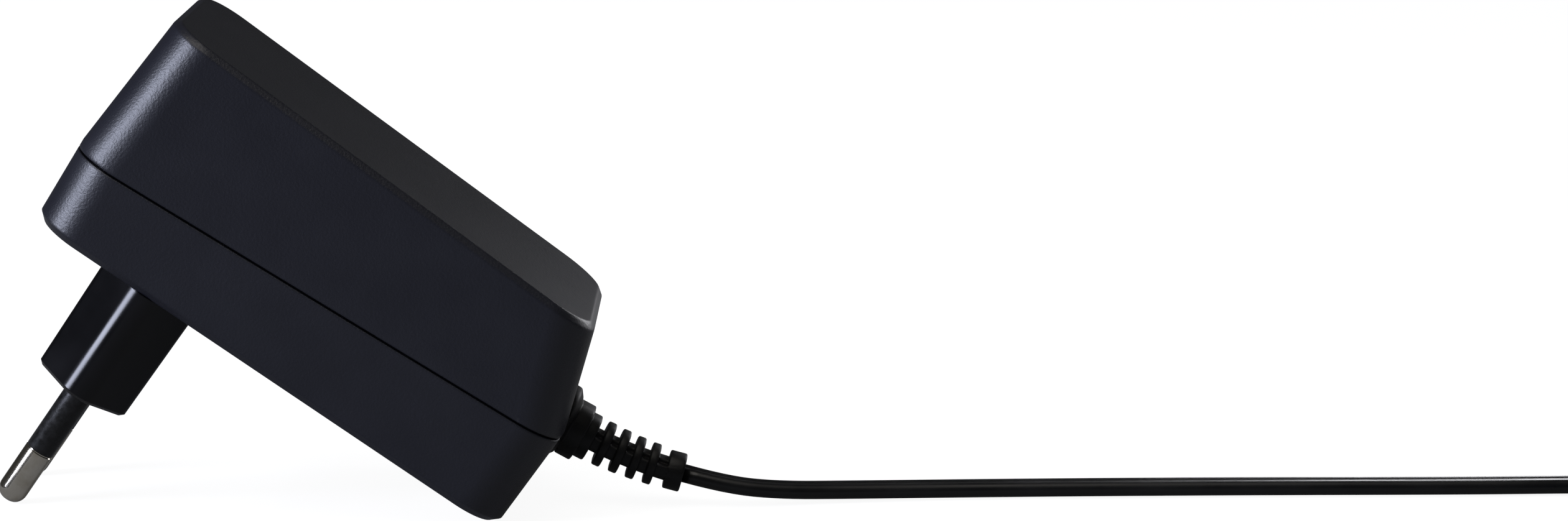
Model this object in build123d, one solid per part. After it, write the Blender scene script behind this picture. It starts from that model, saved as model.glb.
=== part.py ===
from build123d import *
from math import atan2, cos, degrees, radians, sin, tan
import os

# Plug-in power adapter with a flat two-pin mains plug and a moulded low-voltage lead.
# Device axes: x runs from the plug end to the cord end, y across the housing, z away
# from the socket. z is 0 on the flat underside and x is 0 in the plane of the two pins.

# Housing, measured along the seam between its two shells
SEAM_HEIGHT = 11.6  # over the underside, at the pins
SEAM_SLOPE = 2.8  # degrees, rising towards the cord end
PLUG_END = -18.3  # end wall beyond the pins
CORD_END = 56.5  # end wall where the cord leaves
HALF_WIDTH = 19.2
CORNER_RADIUS = 6.6
WALL = 2.0
TOP_HEIGHT = 31.9  # over the underside, at the pins
TOP_SLOPE = 2.05  # degrees, falling towards the cord end
TOP_EDGE = 0.8  # chamfer along the top
BOTTOM_EDGE = 1.0  # chamfer along the underside
SKIRT = 1.3  # straight band of the upper shell over the seam

# Draft of the walls in degrees, from the normal of the seam plane
UPPER_PLUG_DRAFT = 6.4
UPPER_CORD_DRAFT = 15.6
LOWER_PLUG_DRAFT = 0.3
LOWER_CORD_DRAFT = 4.0
SIDE_DRAFT = 2.0

# Seam: the lower shell's lip stands inside the upper shell
SEAM_GAP = 0.3
LIP_HEIGHT = 1.5
LIP_INSET = 1.15  # from the outside of the housing
LIP_THICKNESS = 0.95
LIP_CLEARANCE = 0.1

# Ribs of the upper shell that hold the board down
RIB_DEPTH = 1.5
RIB_WIDTH = 1.8
RIB_LAP = 0.5  # over the board's edge
RIB_GAP = 0.1

# Plug block
BLOCK_HEIGHT = 16.9
BLOCK_THICKNESS = 13.4
BLOCK_WIDTH = 35.3
BLOCK_FLAT = 24.6  # width of the flat sides between the chamfers
BLOCK_CORNER = 1.4
BLOCK_DRAFT = 1.0
BLOCK_FACE_EDGE = 0.5
BLOCK_WALL = 2.2
BLOCK_FACE = 4.4  # thickness of the face that carries the pins
SPIGOT_THICKNESS = 9.6  # neck through the underside of the housing
SPIGOT_WIDTH = 28.0
SPIGOT_CORNER = 2.0
SPIGOT_CLEARANCE = 0.1
RIM = 1.0  # bead that holds the spigot inside
RIM_HEIGHT = 1.2
BOSS_SIZE = 6.6
BOSS_HEIGHT = 4.0

# Plug pins
PIN_LENGTH = 19.0
PIN_RADIUS = 2.0
PIN_TIP_RADIUS = 1.5
PIN_TIP_STEPS = 2  # cones that make up the rounded tip
PIN_SPACING_BASE = 18.6
PIN_SPACING_TIP = 17.5
PIN_BARE = 8.2  # metal that shows beyond the sleeve
PIN_NECK_RADIUS = 1.5  # inside the sleeve
PIN_COLLAR_SIZE = 4.4  # square flange moulded into the block
PIN_COLLAR = 1.6
PIN_TAIL_SIZE = 2.2
PIN_TAIL = 11.0  # from the block's face to the pin's inner end
SLEEVE_RADIUS = 1.8
SLEEVE_ROOT = 2.4  # length of sleeve inside the block

# Strain relief: its axis leaves the cord end along the seam and bends up
BOOT_LENGTH = 18.0
BOOT_BEND = 61.3
BOOT_DROP = 0.4  # of its root under the seam
BOOT_WIDTH_GAIN = 1.25  # width over height
FLARE_HEIGHT = 10.2
FLARE_LENGTH = 0.9
FLARE_ROOT = 1.6  # reach of the flare behind the edge of the seam, down to the sloping wall
COLLAR_HEIGHT = 7.8
COLLAR_LENGTH = 2.3
STEP_HEIGHT = 6.3
STEP_LENGTH = 1.5
END_COLLAR_HEIGHT = 5.1
END_COLLAR_LENGTH = 2.35
RIB_COUNT = 4
SLOT_WIDTH = 1.16
END_SLOT_WIDTH = 1.55  # between the last rib and the end collar
WEB_THICKNESS = 1.7
WEB_SETBACK = 0.8  # of the web from the ribs' width
BOOT_LAP = 0.1  # of each stretch over the one before
FLARE_STEP = 0.2  # of the flare's end over the first collar
CORE_HEIGHT = 2.9
CORE_WIDTH = 3.0
NECK_WIDTH = 6.5  # through the wall
NECK_HEIGHT = 5.2
NECK_CLEARANCE = 0.05
NECK_ROOT = 0.5  # overlap of the neck with the flare outside
FLANGE_WIDTH = 9.0  # inside the wall
FLANGE_HEIGHT = 7.2
FLANGE_THICKNESS = 1.4
FLANGE_SETBACK = 3.3

# Flat twin cord
CORD_WIDTH = 4.2
CORD_THICKNESS = 2.1
CORD_BEVEL = 0.6  # of the section's corners
CORD_LENGTH = 1500.0
ARC_SHARE = 0.45  # of the shorter run, taken by the arc at a point of a route

# Route of the cord: along x and y from the end of the strain relief, and height over the table
ROUTE = [
    (6.0, 0.0, 2.56),
    (13.4, 1.5, 1.65),
    (22.9, 4.3, 1.3),
    (36.4, 7.2, 1.12),
    (55.4, 10.0, 1.12),
    (80.4, 13.2, 1.12),
    (110.4, 16.6, 1.12),
    (125.4, 18.9, 1.12),
    (136.4, 20.1, 1.12),
]

# Coil of the cord that is put away, with its turns on edge in two layers
COIL_TURNS = 9  # full turns, before the part turn to where the cord leaves
COIL_WIDTH = 12.6  # over the turns of one layer
COIL_LAYERS = 2
COIL_CLEARANCE = 0.15
LEAD_IN = 14.0  # straight cord before the outermost turn
LEAD_OUT = 12.0
TIE_WIDTH = 4.0
TIE_THICKNESS = 0.8
TIE_ANGLE = 215.0  # around the coil, from +x
TAIL_ANGLE = 80.0  # where the cord leaves the coil again

# Route of the tail: ahead of the coil's end, sideways, and drop from there
TAIL_ROUTE = [
    (0.0, 0.0, 0.0),
    (5.0, 0.0, 0.0),
    (11.0, 0.7, 0.9),
    (16.5, 1.9, 0.9),
]

# Low-voltage plug at the far end
PLUG_GRIP_RADIUS = 5.4
PLUG_GRIP_LENGTH = 16.0
PLUG_RELIEF_LENGTH = 10.0
PLUG_RELIEF_RADIUS = 3.2  # where it joins the grip
PLUG_RELIEF_END = 2.7  # where the cord comes out
PLUG_EDGE = 0.8
BARREL_RADIUS = 2.75
BARREL_LENGTH = 9.5
BARREL_WALL = 0.4
INSULATOR_ROOT = 3.0  # moulded into the grip
INSULATOR_SETBACK = 0.3
CONTACT_SIZE = 2.9  # square outside, so that it can't turn
CONTACT_BORE = 1.05
CONTACT_SETBACK = 0.5
CONTACT_DEPTH = 8.0

# Circuit board, its posts and the legs that pass through it
BOARD_UNDERSIDE = 6.0
BOARD_THICKNESS = 1.6
BOARD_MARGIN_START = 1.8  # between the board and the walls
BOARD_MARGIN_END = 2.5
BOARD_MARGIN_SIDE = 1.7
BOARD_CORNER = 3.0
POST_SIZE = 4.2
SPIKE_SIZE = 1.8
SPIKE_HEIGHT = 1.0  # over the board
POST_INSET_X = 2.5
POST_INSET_Y = 2.2
HOLE_CLEARANCE = 0.15
LEG_SIZE = 0.6
LEG_REACH = 1.4  # under the board
LEG_PITCH = 2.54
BODY_CLEARANCE = 0.1  # between inner pieces that are wound or slid on

# Wires from the pins and to the cord
PIN_WIRE_RADIUS = 0.6
PIN_WIRE_SEAT = 1.5  # depth in the pin's inner end
PIN_WIRE_END = 1.0  # over the board
OUTPUT_WIRE_RADIUS = 0.8
OUTPUT_WIRE_SPREAD = 1.4  # from the middle
OUTPUT_WIRE_RUN = 3.3
OUTPUT_WIRE_BEND = 1.8
WIRE_SIDES = 6

# The board fits between the walls, and what stands on it takes shares of its size
BOARD_START = PLUG_END + WALL + BOARD_MARGIN_START
BOARD_END = CORD_END - WALL - BOARD_MARGIN_END
BOARD_HALF_WIDTH = HALF_WIDTH - WALL - BOARD_MARGIN_SIDE


def along(share):
    """Place or length in x as a share of the board's length."""
    return share * (BOARD_END - BOARD_START)


def across(share):
    """Place or length in y as a share of the board's half width."""
    return share * BOARD_HALF_WIDTH


def upward(share):
    """Height as a share of the room between the board and the top."""
    return share * (TOP_HEIGHT - WALL - BOARD_UNDERSIDE - BOARD_THICKNESS)


def fitting(share_x, share_y):
    """Radius that fits a room of both shares."""
    return min(along(share_x), across(share_y))


def spot(share_x, share_y):
    """Place on the board from shares of its length and of its half width."""
    return (BOARD_START + along(share_x), across(share_y))


# Mains side of the board
FUSE_PLACE = spot(0.06, -0.19)
FUSE_SIZE = (along(0.06), across(0.55), upward(0.36))
FUSE_PITCH = across(0.33)
VARISTOR_PLACE = spot(0.06, 0.39)
DISC_RADIUS = fitting(0.06, 0.255)
DISC_THICKNESS = 3.5
DISC_PITCH = across(0.32)
DISC_STAND = 1.5  # height of a disc over the board
LINE_CAPACITOR_PLACE = spot(0.17, 0.0)
LINE_CAPACITOR_SIZE = (along(0.075), across(0.84), upward(0.49))
LINE_CAPACITOR_PITCH = across(0.65)
CHOKE_PLACE = spot(0.323, 0.0)
CHOKE_RADIUS = fitting(0.084, 0.36)
CHOKE_BORE = fitting(0.048, 0.205)
CHOKE_HEIGHT = upward(0.27)
CHOKE_WINDING = 0.8
CHOKE_GAP_ANGLE = 50.0  # free of wire between the two windings
RECTIFIER_PLACE = spot(0.326, 0.75)
RECTIFIER_SIZE = (along(0.128), across(0.3), upward(0.285))
RECTIFIER_PITCH = along(0.033)
BULK_CAPACITOR_PLACES = {"near": spot(0.5, -0.6), "far": spot(0.5, 0.14)}
BULK_CAPACITOR_RADIUS = fitting(0.075, 0.322)
BULK_CAPACITOR_HEIGHT = upward(0.8)
BRIDGING_CAPACITOR_PLACE = spot(0.391, -0.71)
CONTROLLER_PLACE = spot(0.295, -0.722)
CONTROLLER_SIZE = (along(0.105), across(0.4), upward(0.148))
CONTROLLER_STAND = 0.5
CONTROLLER_ROWS = across(0.49)

# Transistor, diode and their heat sinks
SINK_THICKNESS = 1.5
SINK_INSET = 0.3  # from the board's edge
SINK_HEIGHT = upward(0.8)
SINK_FACE = BOARD_HALF_WIDTH - SINK_INSET - SINK_THICKNESS  # of the cooled face from the middle
SWITCH_PLACE_X = BOARD_START + along(0.496)
SWITCH_SINK_LENGTH = along(0.18)
DIODE_PLACE_X = BOARD_START + along(0.76)
DIODE_SINK_LENGTH = along(0.24)
PACKAGE_WIDTH = along(0.15)
PACKAGE_HEIGHT = upward(0.4)
PACKAGE_THICKNESS = across(0.2)
PACKAGE_STAND = upward(0.155)
TAB_HEIGHT = upward(0.69)
TAB_THICKNESS = across(0.083)
SCREW_RADIUS = 1.5
SCREW_HEAD_RADIUS = 2.8
SCREW_HEAD = 1.8
SCREW_CLEARANCE = 0.2
SCREW_FROM_TOP = 2.9  # from the tab's upper end

# Transformer with two E-shaped core halves that lie flat and meet in the middle
TRANSFORMER_PLACE = spot(0.719, 0.129)
CORE_LENGTH = along(0.27)
CORE_DEPTH = across(1.29)
CORE_THICKNESS = upward(0.27)
CORE_MIDDLE_LEG = along(0.09)
CORE_SIDE_LEG = along(0.04)
CORE_BACK = across(0.19)
BOBBIN_WALL = 0.8
BOBBIN_FLANGE = 1.0
BOBBIN_HEIGHT = upward(0.58)
RAIL_HEIGHT = 1.5
RAIL_LENGTH = along(0.24)
RAIL_DEPTH = across(0.23)
RAIL_PITCH = along(0.075)
RAIL_LEGS = 4
WINDING_SETBACK = 0.3  # of the turns from the bobbin's rim

# Low-voltage side
COUPLER_PLACE = spot(0.899, 0.0)
COUPLER_SIZE = (along(0.07), across(0.42), upward(0.157))
COUPLER_ROWS = across(0.49)
OUTPUT_CAPACITOR_PLACES = {"near": spot(0.929, -0.548), "far": spot(0.929, 0.548)}
OUTPUT_CAPACITOR_RADIUS = fitting(0.06, 0.258)
OUTPUT_CAPACITOR_HEIGHT = upward(0.62)
CAN_PITCH = 3.5

BOARD_TOP = BOARD_UNDERSIDE + BOARD_THICKNESS
CORNERS = ((-1, -1), (-1, 1), (1, -1), (1, 1))
SIDES = {"near": -1, "far": 1}

# The seam plane carries both shells' outlines
SEAM = Plane(
    origin=(0, 0, SEAM_HEIGHT),
    x_dir=(cos(radians(SEAM_SLOPE)), 0, sin(radians(SEAM_SLOPE))),
    z_dir=(-sin(radians(SEAM_SLOPE)), 0, cos(radians(SEAM_SLOPE))),
)
FORM_REACH = TOP_HEIGHT - SEAM_HEIGHT + 3 * WALL  # the forms run past the top and the underside


def slant(draft, height):
    """Distance that a wall of this draft moves over a height."""
    return height * tan(radians(draft))


def wall_ring(height, inset=0.0, skirt=SKIRT):
    """Corners of the housing's sharp outline on a plane parallel to the seam, drawn in by inset."""
    below = max(-height, 0.0)
    above = max(height - skirt, 0.0)
    start = PLUG_END + slant(LOWER_PLUG_DRAFT, below) + slant(UPPER_PLUG_DRAFT, above) + inset
    end = CORD_END - slant(LOWER_CORD_DRAFT, below) - slant(UPPER_CORD_DRAFT, above) - inset
    half = HALF_WIDTH - slant(SIDE_DRAFT, below + above) - inset
    corners = ((start, -half), (end, -half), (end, half), (start, half))
    return [SEAM.from_local_coords(Vector(x, y, height)) for x, y in corners]


def band(low, high, inset=0.0, skirt=SKIRT):
    """Solid with four flat drafted sides between two heights over the seam plane."""
    size = 3 * (CORD_END - PLUG_END)
    shape = SEAM * Pos(0, 0, (low + high) / 2) * Box(size, size, high - low)
    lower = wall_ring(low, inset, skirt)
    upper = wall_ring(high, inset, skirt)
    for number, corner in enumerate(lower):
        following = lower[(number + 1) % 4]
        outwards = (following - corner).cross(upper[number] - corner)
        shape = split(shape, bisect_by=Plane(origin=corner, z_dir=outwards), keep=Keep.BOTTOM)
    return shape


def upright_edges(shape):
    """Edges where the long sides meet the end walls."""
    found = []
    for edge in shape.edges():
        along = (edge @ 1) - (edge @ 0)
        corner = abs((edge @ 0.5).Y) > HALF_WIDTH / 2
        if corner and abs(along.dot(SEAM.z_dir)) > along.length / 2:
            found.append(edge)
    return found


def seam_prism(inset, height):
    """Straight prism that stands on the seam plane inside the outline."""
    length = CORD_END - PLUG_END - 2 * inset
    width = 2 * (HALF_WIDTH - inset)
    middle = Pos((CORD_END + PLUG_END) / 2, 0, 0)
    return SEAM * middle * rounded_block(length, width, height, CORNER_RADIUS - inset)


def under_top(drop=0.0):
    """Block that holds everything lower than the sloping top, less a drop."""
    size = 3 * (CORD_END - PLUG_END)
    return Pos(0, 0, TOP_HEIGHT - drop) * Rot(0, TOP_SLOPE, 0) * Pos(0, 0, -size / 2) * Box(size, size, size)


def upper_form():
    """Outer form of the upper shell, with its straight skirt under the drafted walls."""
    body = (band(0, SKIRT) + band(SKIRT, FORM_REACH)) & under_top()
    return fillet(upright_edges(body), CORNER_RADIUS)


def upper_cavity():
    """Room inside the upper shell, drafted from the seam upwards."""
    body = band(0, FORM_REACH, WALL, skirt=0.0) & under_top(WALL)
    return fillet(upright_edges(body), CORNER_RADIUS - WALL)


def lower_form(inset=0.0):
    """Outer form of the lower shell, or its cavity when drawn in."""
    body = split(band(-FORM_REACH, 0, inset), bisect_by=Plane.XY.offset(inset), keep=Keep.TOP)
    return fillet(upright_edges(body), CORNER_RADIUS - inset)


def post_places():
    """Centres of the four board posts."""
    middle = (BOARD_START + BOARD_END) / 2
    reach_x = (BOARD_END - BOARD_START) / 2 - POST_INSET_X
    reach_y = BOARD_HALF_WIDTH - POST_INSET_Y
    return [(middle + sx * reach_x, sy * reach_y) for sx, sy in CORNERS]


def rounded_block(length, width, height, corner):
    """Block with rounded upright edges, standing on z = 0."""
    return extrude(RectangleRounded(length, width, corner), amount=height)


def neck_opening():
    """Hole through the cord end for the neck of the strain relief, centred on the seam."""
    length = 2 * (FLANGE_SETBACK + FLANGE_THICKNESS)
    place = SEAM * Pos(CORD_END, 0, 0)
    return place * Box(length, NECK_WIDTH + 2 * NECK_CLEARANCE, NECK_HEIGHT + 2 * NECK_CLEARANCE)


def hold_downs():
    """Ribs under the top of the upper shell that keep the board down on its posts."""
    ribs = []
    places = (BOARD_START + along(0.13), BOARD_START + along(0.925))
    for x, side in ((x, side) for x in places for side in SIDES.values()):
        low = BOARD_UNDERSIDE + BOARD_THICKNESS + RIB_GAP
        high = TOP_HEIGHT - WALL - slant(TOP_SLOPE, x) + WALL / 2
        y = side * (BOARD_HALF_WIDTH + RIB_WIDTH / 2 - RIB_LAP)
        ribs.append(Pos(x, y, (low + high) / 2) * Box(RIB_DEPTH, RIB_WIDTH, high - low))
    return ribs


def make_upper_shell():
    """Upper half of the housing, open below, with ribs that hold the board down."""
    shell = upper_form()
    top = shell.faces().sort_by(Axis.Z)[-1]
    shell = chamfer(top.edges(), TOP_EDGE)
    shell -= upper_cavity()
    shell -= seam_prism(LIP_INSET - LIP_CLEARANCE, LIP_HEIGHT + LIP_CLEARANCE)
    shell = split(shell, bisect_by=SEAM.offset(SEAM_GAP), keep=Keep.TOP)
    return joined(shell - neck_opening(), hold_downs())


def make_lower_shell():
    """Lower half of the housing: a tray with a lip, board posts and the plug's opening."""
    shell = lower_form()
    floor = shell.faces().sort_by(Axis.Z)[0]
    shell = chamfer(floor.edges(), BOTTOM_EDGE)
    shell -= lower_form(WALL)
    shell += seam_prism(LIP_INSET, LIP_HEIGHT) - seam_prism(LIP_INSET + LIP_THICKNESS, LIP_HEIGHT)
    for x, y in post_places():
        height = BOARD_UNDERSIDE - WALL
        shell += Pos(x, y, WALL + height / 2) * Box(POST_SIZE, POST_SIZE, height)
        spike = BOARD_THICKNESS + SPIKE_HEIGHT
        shell += Pos(x, y, BOARD_UNDERSIDE + spike / 2) * Box(SPIKE_SIZE, SPIKE_SIZE, spike)
    opening = rounded_block(
        SPIGOT_THICKNESS + 2 * SPIGOT_CLEARANCE,
        SPIGOT_WIDTH + 2 * SPIGOT_CLEARANCE,
        WALL,
        SPIGOT_CORNER,
    )
    return shell - opening - neck_opening()


def block_ring(height):
    """Corners of the plug block's sharp six-sided outline at a height over its face."""
    grow = slant(BLOCK_DRAFT, height)
    side = BLOCK_THICKNESS / 2 + grow
    flat = BLOCK_FLAT / 2 + grow * tan(radians(22.5))
    peak = flat + side
    plan = ((side, -flat), (side, flat), (0, peak), (-side, flat), (-side, -flat), (0, -peak))
    return [Vector(x, y, height - BLOCK_HEIGHT) for x, y in plan]


def block_form():
    """Drafted six-sided form of the plug block with rounded upright edges."""
    size = 3 * BLOCK_WIDTH
    shape = Pos(0, 0, -BLOCK_HEIGHT / 2) * Box(size, size, BLOCK_HEIGHT)
    lower = block_ring(0)
    upper = block_ring(BLOCK_HEIGHT)
    for number, corner in enumerate(lower):
        following = lower[(number + 1) % len(lower)]
        outwards = (following - corner).cross(upper[number] - corner)
        shape = split(shape, bisect_by=Plane(origin=corner, z_dir=outwards), keep=Keep.BOTTOM)
    upright = [e for e in shape.edges() if abs((e @ 1).Z - (e @ 0).Z) > BLOCK_HEIGHT / 2]
    noses = [e for e in upright if abs((e @ 0.5).X) < BLOCK_THICKNESS / 4]
    peak = (BLOCK_FLAT + BLOCK_THICKNESS) / 2
    nose_radius = (peak - BLOCK_WIDTH / 2) / (1 / cos(radians(45)) - 1)
    shape = fillet(noses, nose_radius)
    upright = [e for e in shape.edges() if abs((e @ 1).Z - (e @ 0).Z) > BLOCK_HEIGHT / 2]
    flats = [e for e in upright if abs(abs((e @ 0.5).Y) - BLOCK_FLAT / 2) < BLOCK_CORNER / 2]
    return fillet(flats, BLOCK_CORNER)


def pin_place(side):
    """Location of a pin: z runs along it from its tip to its inner end."""
    lean = degrees(atan2((PIN_SPACING_BASE - PIN_SPACING_TIP) / 2, PIN_LENGTH))
    tip = (0, side * PIN_SPACING_TIP / 2, -BLOCK_HEIGHT - PIN_LENGTH)
    return Pos(*tip) * Rot(-side * lean, 0, 0)


def pin_tip():
    """Radius and distance from the end at each step of a pin's rounded tip."""
    angles = [radians(90 * step / PIN_TIP_STEPS) for step in range(PIN_TIP_STEPS + 1)]
    core = PIN_RADIUS - PIN_TIP_RADIUS
    return [(core + PIN_TIP_RADIUS * sin(a), PIN_TIP_RADIUS * (1 - cos(a))) for a in angles]


def make_pin(side):
    """Turned pin: bare tip, thinner neck in the sleeve, and a collar moulded into the block."""
    face = PIN_LENGTH
    collar = face + SLEEVE_ROOT
    end = face + PIN_TAIL
    profile = make_face(
        Polyline(
            (0, 0),
            *pin_tip(),
            (PIN_RADIUS, PIN_BARE),
            (PIN_NECK_RADIUS, PIN_BARE),
            (PIN_NECK_RADIUS, collar),
            (0, collar),
            close=True,
        )
    )
    pin = revolve(Plane.XZ * profile, Axis.Z)
    pin += span(collar, collar + PIN_COLLAR) * Box(PIN_COLLAR_SIZE, PIN_COLLAR_SIZE, PIN_COLLAR)
    pin += span(collar, end) * Box(PIN_TAIL_SIZE, PIN_TAIL_SIZE, end - collar)
    seat = Box(2 * PIN_WIRE_RADIUS, 2 * PIN_WIRE_RADIUS, PIN_WIRE_SEAT)
    return pin_place(side) * (pin - span(end - PIN_WIRE_SEAT, end) * seat)


def make_sleeve(side):
    """Insulating sleeve round the pin's neck, rooted in the block."""
    length = PIN_LENGTH - PIN_BARE + SLEEVE_ROOT
    tube = Cylinder(SLEEVE_RADIUS, length) - Cylinder(PIN_NECK_RADIUS, length)
    return pin_place(side) * Pos(0, 0, PIN_BARE + length / 2) * tube


def octagon(radius):
    """Eight-sided section with a flat side below."""
    return RegularPolygon(radius, 8, major_radius=False, rotation=22.5)


def pin_wire_length():
    """Length of the wire from its seat in the pin to its end over the board."""
    end_height = pin_place(1).position.Z + PIN_LENGTH + PIN_TAIL
    return PIN_WIRE_SEAT + BOARD_TOP + PIN_WIRE_END - end_height


def make_pin_wire(side):
    """Wire that carries on a pin's axis up through the board."""
    length = pin_wire_length()
    start = PIN_LENGTH + PIN_TAIL - PIN_WIRE_SEAT
    bar = extrude(octagon(PIN_WIRE_RADIUS), amount=length)
    return pin_place(side) * Pos(0, 0, start) * bar


def pin_wire_hole(side):
    """Place of a pin's wire in the middle of the board."""
    lean = (PIN_SPACING_BASE - PIN_SPACING_TIP) / 2 / PIN_LENGTH
    rise = BOARD_TOP - BOARD_THICKNESS / 2 + BLOCK_HEIGHT + PIN_LENGTH
    return (0, side * (PIN_SPACING_TIP / 2 + lean * rise))


def make_block(pins, sleeves):
    """Hollow plug block with a spigot through the housing and bosses round the pins."""
    block = block_form()
    face = block.faces().sort_by(Axis.Z)[0]
    block = chamfer(face.edges(), BLOCK_FACE_EDGE)
    block += rounded_block(SPIGOT_THICKNESS, SPIGOT_WIDTH, WALL, SPIGOT_CORNER)
    block += Pos(0, 0, WALL) * rounded_block(
        SPIGOT_THICKNESS + 2 * RIM, SPIGOT_WIDTH + 2 * RIM, RIM_HEIGHT, SPIGOT_CORNER
    )
    depth = BLOCK_HEIGHT - BLOCK_FACE + WALL + RIM_HEIGHT
    cavity = rounded_block(
        SPIGOT_THICKNESS - BLOCK_WALL, SPIGOT_WIDTH - BLOCK_WALL, depth, SPIGOT_CORNER / 2
    )
    block -= Pos(0, 0, BLOCK_FACE - BLOCK_HEIGHT) * cavity
    inside = Pos(0, 0, BLOCK_FACE - BLOCK_HEIGHT) * cavity
    for side in (-1, 1):
        reach = PIN_LENGTH + BLOCK_FACE + BOSS_HEIGHT / 2
        block += inside & (pin_place(side) * Pos(0, 0, reach) * Box(BOSS_SIZE, BOSS_SIZE, BOSS_HEIGHT))
    for piece in pins + sleeves:
        block -= piece
    return block


def boot_point(s):
    """Place on the strain relief's axis at a distance s from the end wall."""
    turn = s / BOOT_BEND
    along = CORD_END + BOOT_BEND * sin(turn)
    up = BOOT_BEND * (1 - cos(turn)) - BOOT_DROP
    return SEAM * Location((along, 0, up), (0, -degrees(turn), 0))


def boot_section(s, height):
    """Oval section of the strain relief, square to its axis."""
    return boot_point(s) * Rot(0, 90, 0) * Rot(0, 0, 90) * SlotOverall(height * BOOT_WIDTH_GAIN, height)


def boot_slab(start, end, height):
    """Stretch of the strain relief with an even section, straight between two places on its axis."""
    return extrude(boot_section(end, height), amount=start - end)


def boot_slots(first, last):
    """Start and end of each slot round the strain relief, with the ribs between them."""
    pitch = (last - first - END_SLOT_WIDTH) / RIB_COUNT
    slots = [(first + rib * pitch, first + rib * pitch + SLOT_WIDTH) for rib in range(RIB_COUNT)]
    return slots + [(last - END_SLOT_WIDTH, last)]


def make_boot():
    """Moulded strain relief: flared root, stepped collars, ribs between slots, and an end collar."""
    step = FLARE_LENGTH + COLLAR_LENGTH
    ribs = step + STEP_LENGTH
    last = BOOT_LENGTH - END_COLLAR_LENGTH
    taper = (STEP_HEIGHT - END_COLLAR_HEIGHT) / (BOOT_LENGTH - step)
    boot = boot_slab(-FLARE_ROOT, 0, FLARE_HEIGHT)
    flare = [boot_section(0, FLARE_HEIGHT), boot_section(FLARE_LENGTH, COLLAR_HEIGHT + FLARE_STEP)]
    boot += loft([section.face() for section in flare], ruled=True)
    boot += boot_slab(FLARE_LENGTH - BOOT_LAP, step, COLLAR_HEIGHT)
    boot += boot_slab(step - BOOT_LAP, ribs, STEP_HEIGHT)
    slots = boot_slots(ribs, last)
    for (start, end), (following, _) in zip(slots, slots[1:]):
        boot += boot_core(start - BOOT_LAP, end + BOOT_LAP)
        boot += boot_web(start - BOOT_LAP, end + BOOT_LAP)
        boot += boot_slab(end, following, STEP_HEIGHT - taper * (end - step))
    start, end = slots[-1]
    boot += boot_core(start - BOOT_LAP, end + BOOT_LAP)
    boot += boot_web(start - BOOT_LAP, end + BOOT_LAP)
    boot += boot_slab(end, BOOT_LENGTH, END_COLLAR_HEIGHT)
    boot -= band(0, SKIRT) + band(SKIRT, FORM_REACH)
    boot -= band(-FORM_REACH, 0)
    neck_length = FLANGE_SETBACK + NECK_ROOT
    neck = Pos(CORD_END - FLANGE_SETBACK + neck_length / 2, 0, 0) * Box(neck_length, NECK_WIDTH, NECK_HEIGHT)
    flange_middle = CORD_END - FLANGE_SETBACK - FLANGE_THICKNESS / 2
    flange = Pos(flange_middle, 0, 0) * Box(FLANGE_THICKNESS, FLANGE_WIDTH, FLANGE_HEIGHT)
    return boot + SEAM * (neck + flange)


def boot_core(start, end):
    """Core of the strain relief between two ribs."""
    return boot_point((start + end) / 2) * Box(end - start, CORE_WIDTH, CORE_HEIGHT)


def boot_web(start, end):
    """Flat web that joins the ribs on both sides of a slot."""
    width = (STEP_HEIGHT - (STEP_HEIGHT - END_COLLAR_HEIGHT) / 2) * BOOT_WIDTH_GAIN - WEB_SETBACK
    return boot_point((start + end) / 2) * Box(end - start, width, WEB_THICKNESS)


def row(place, pitch, count, across=False):
    """Places in a row along x, or along y when across, centred on a place."""
    steps = [(number - (count - 1) / 2) * pitch for number in range(count)]
    if across:
        return [(place[0], place[1] + step) for step in steps]
    return [(place[0] + step, place[1]) for step in steps]


def two_rows(place, pitch, count, spacing):
    """Places in two rows along x, a spacing apart in y."""
    near = row((place[0], place[1] - spacing / 2), pitch, count)
    far = row((place[0], place[1] + spacing / 2), pitch, count)
    return near + far


def on_board(place, size, stand=0.0):
    """Box of a size over a place on the board."""
    length, width, height = size
    return Pos(place[0], place[1], BOARD_TOP + stand + height / 2) * Box(length, width, height)


def can_on_board(place, radius, height):
    """Upright cylinder over a place on the board."""
    return Pos(place[0], place[1], BOARD_TOP + height / 2) * Cylinder(radius, height)


def legs(places, top=BOARD_TOP):
    """Square legs from under the board up to a height."""
    low = BOARD_UNDERSIDE - LEG_REACH
    height = top - low
    return [Pos(x, y, low + height / 2) * Box(LEG_SIZE, LEG_SIZE, height) for x, y in places]


def joined(body, pieces):
    """Body with pieces added to it."""
    for piece in pieces:
        body += piece
    return body


def package_legs_y(side):
    """Distance of the legs of a cooled package from the middle of the board."""
    return side * (SINK_FACE - TAB_THICKNESS - PACKAGE_THICKNESS / 2)


def rail_distance():
    """Distance in y from the transformer's middle to the legs in its rails."""
    return CORE_DEPTH / 2 - CORE_BACK - BODY_CLEARANCE - BOBBIN_FLANGE + RAIL_DEPTH - LEG_SIZE


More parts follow.
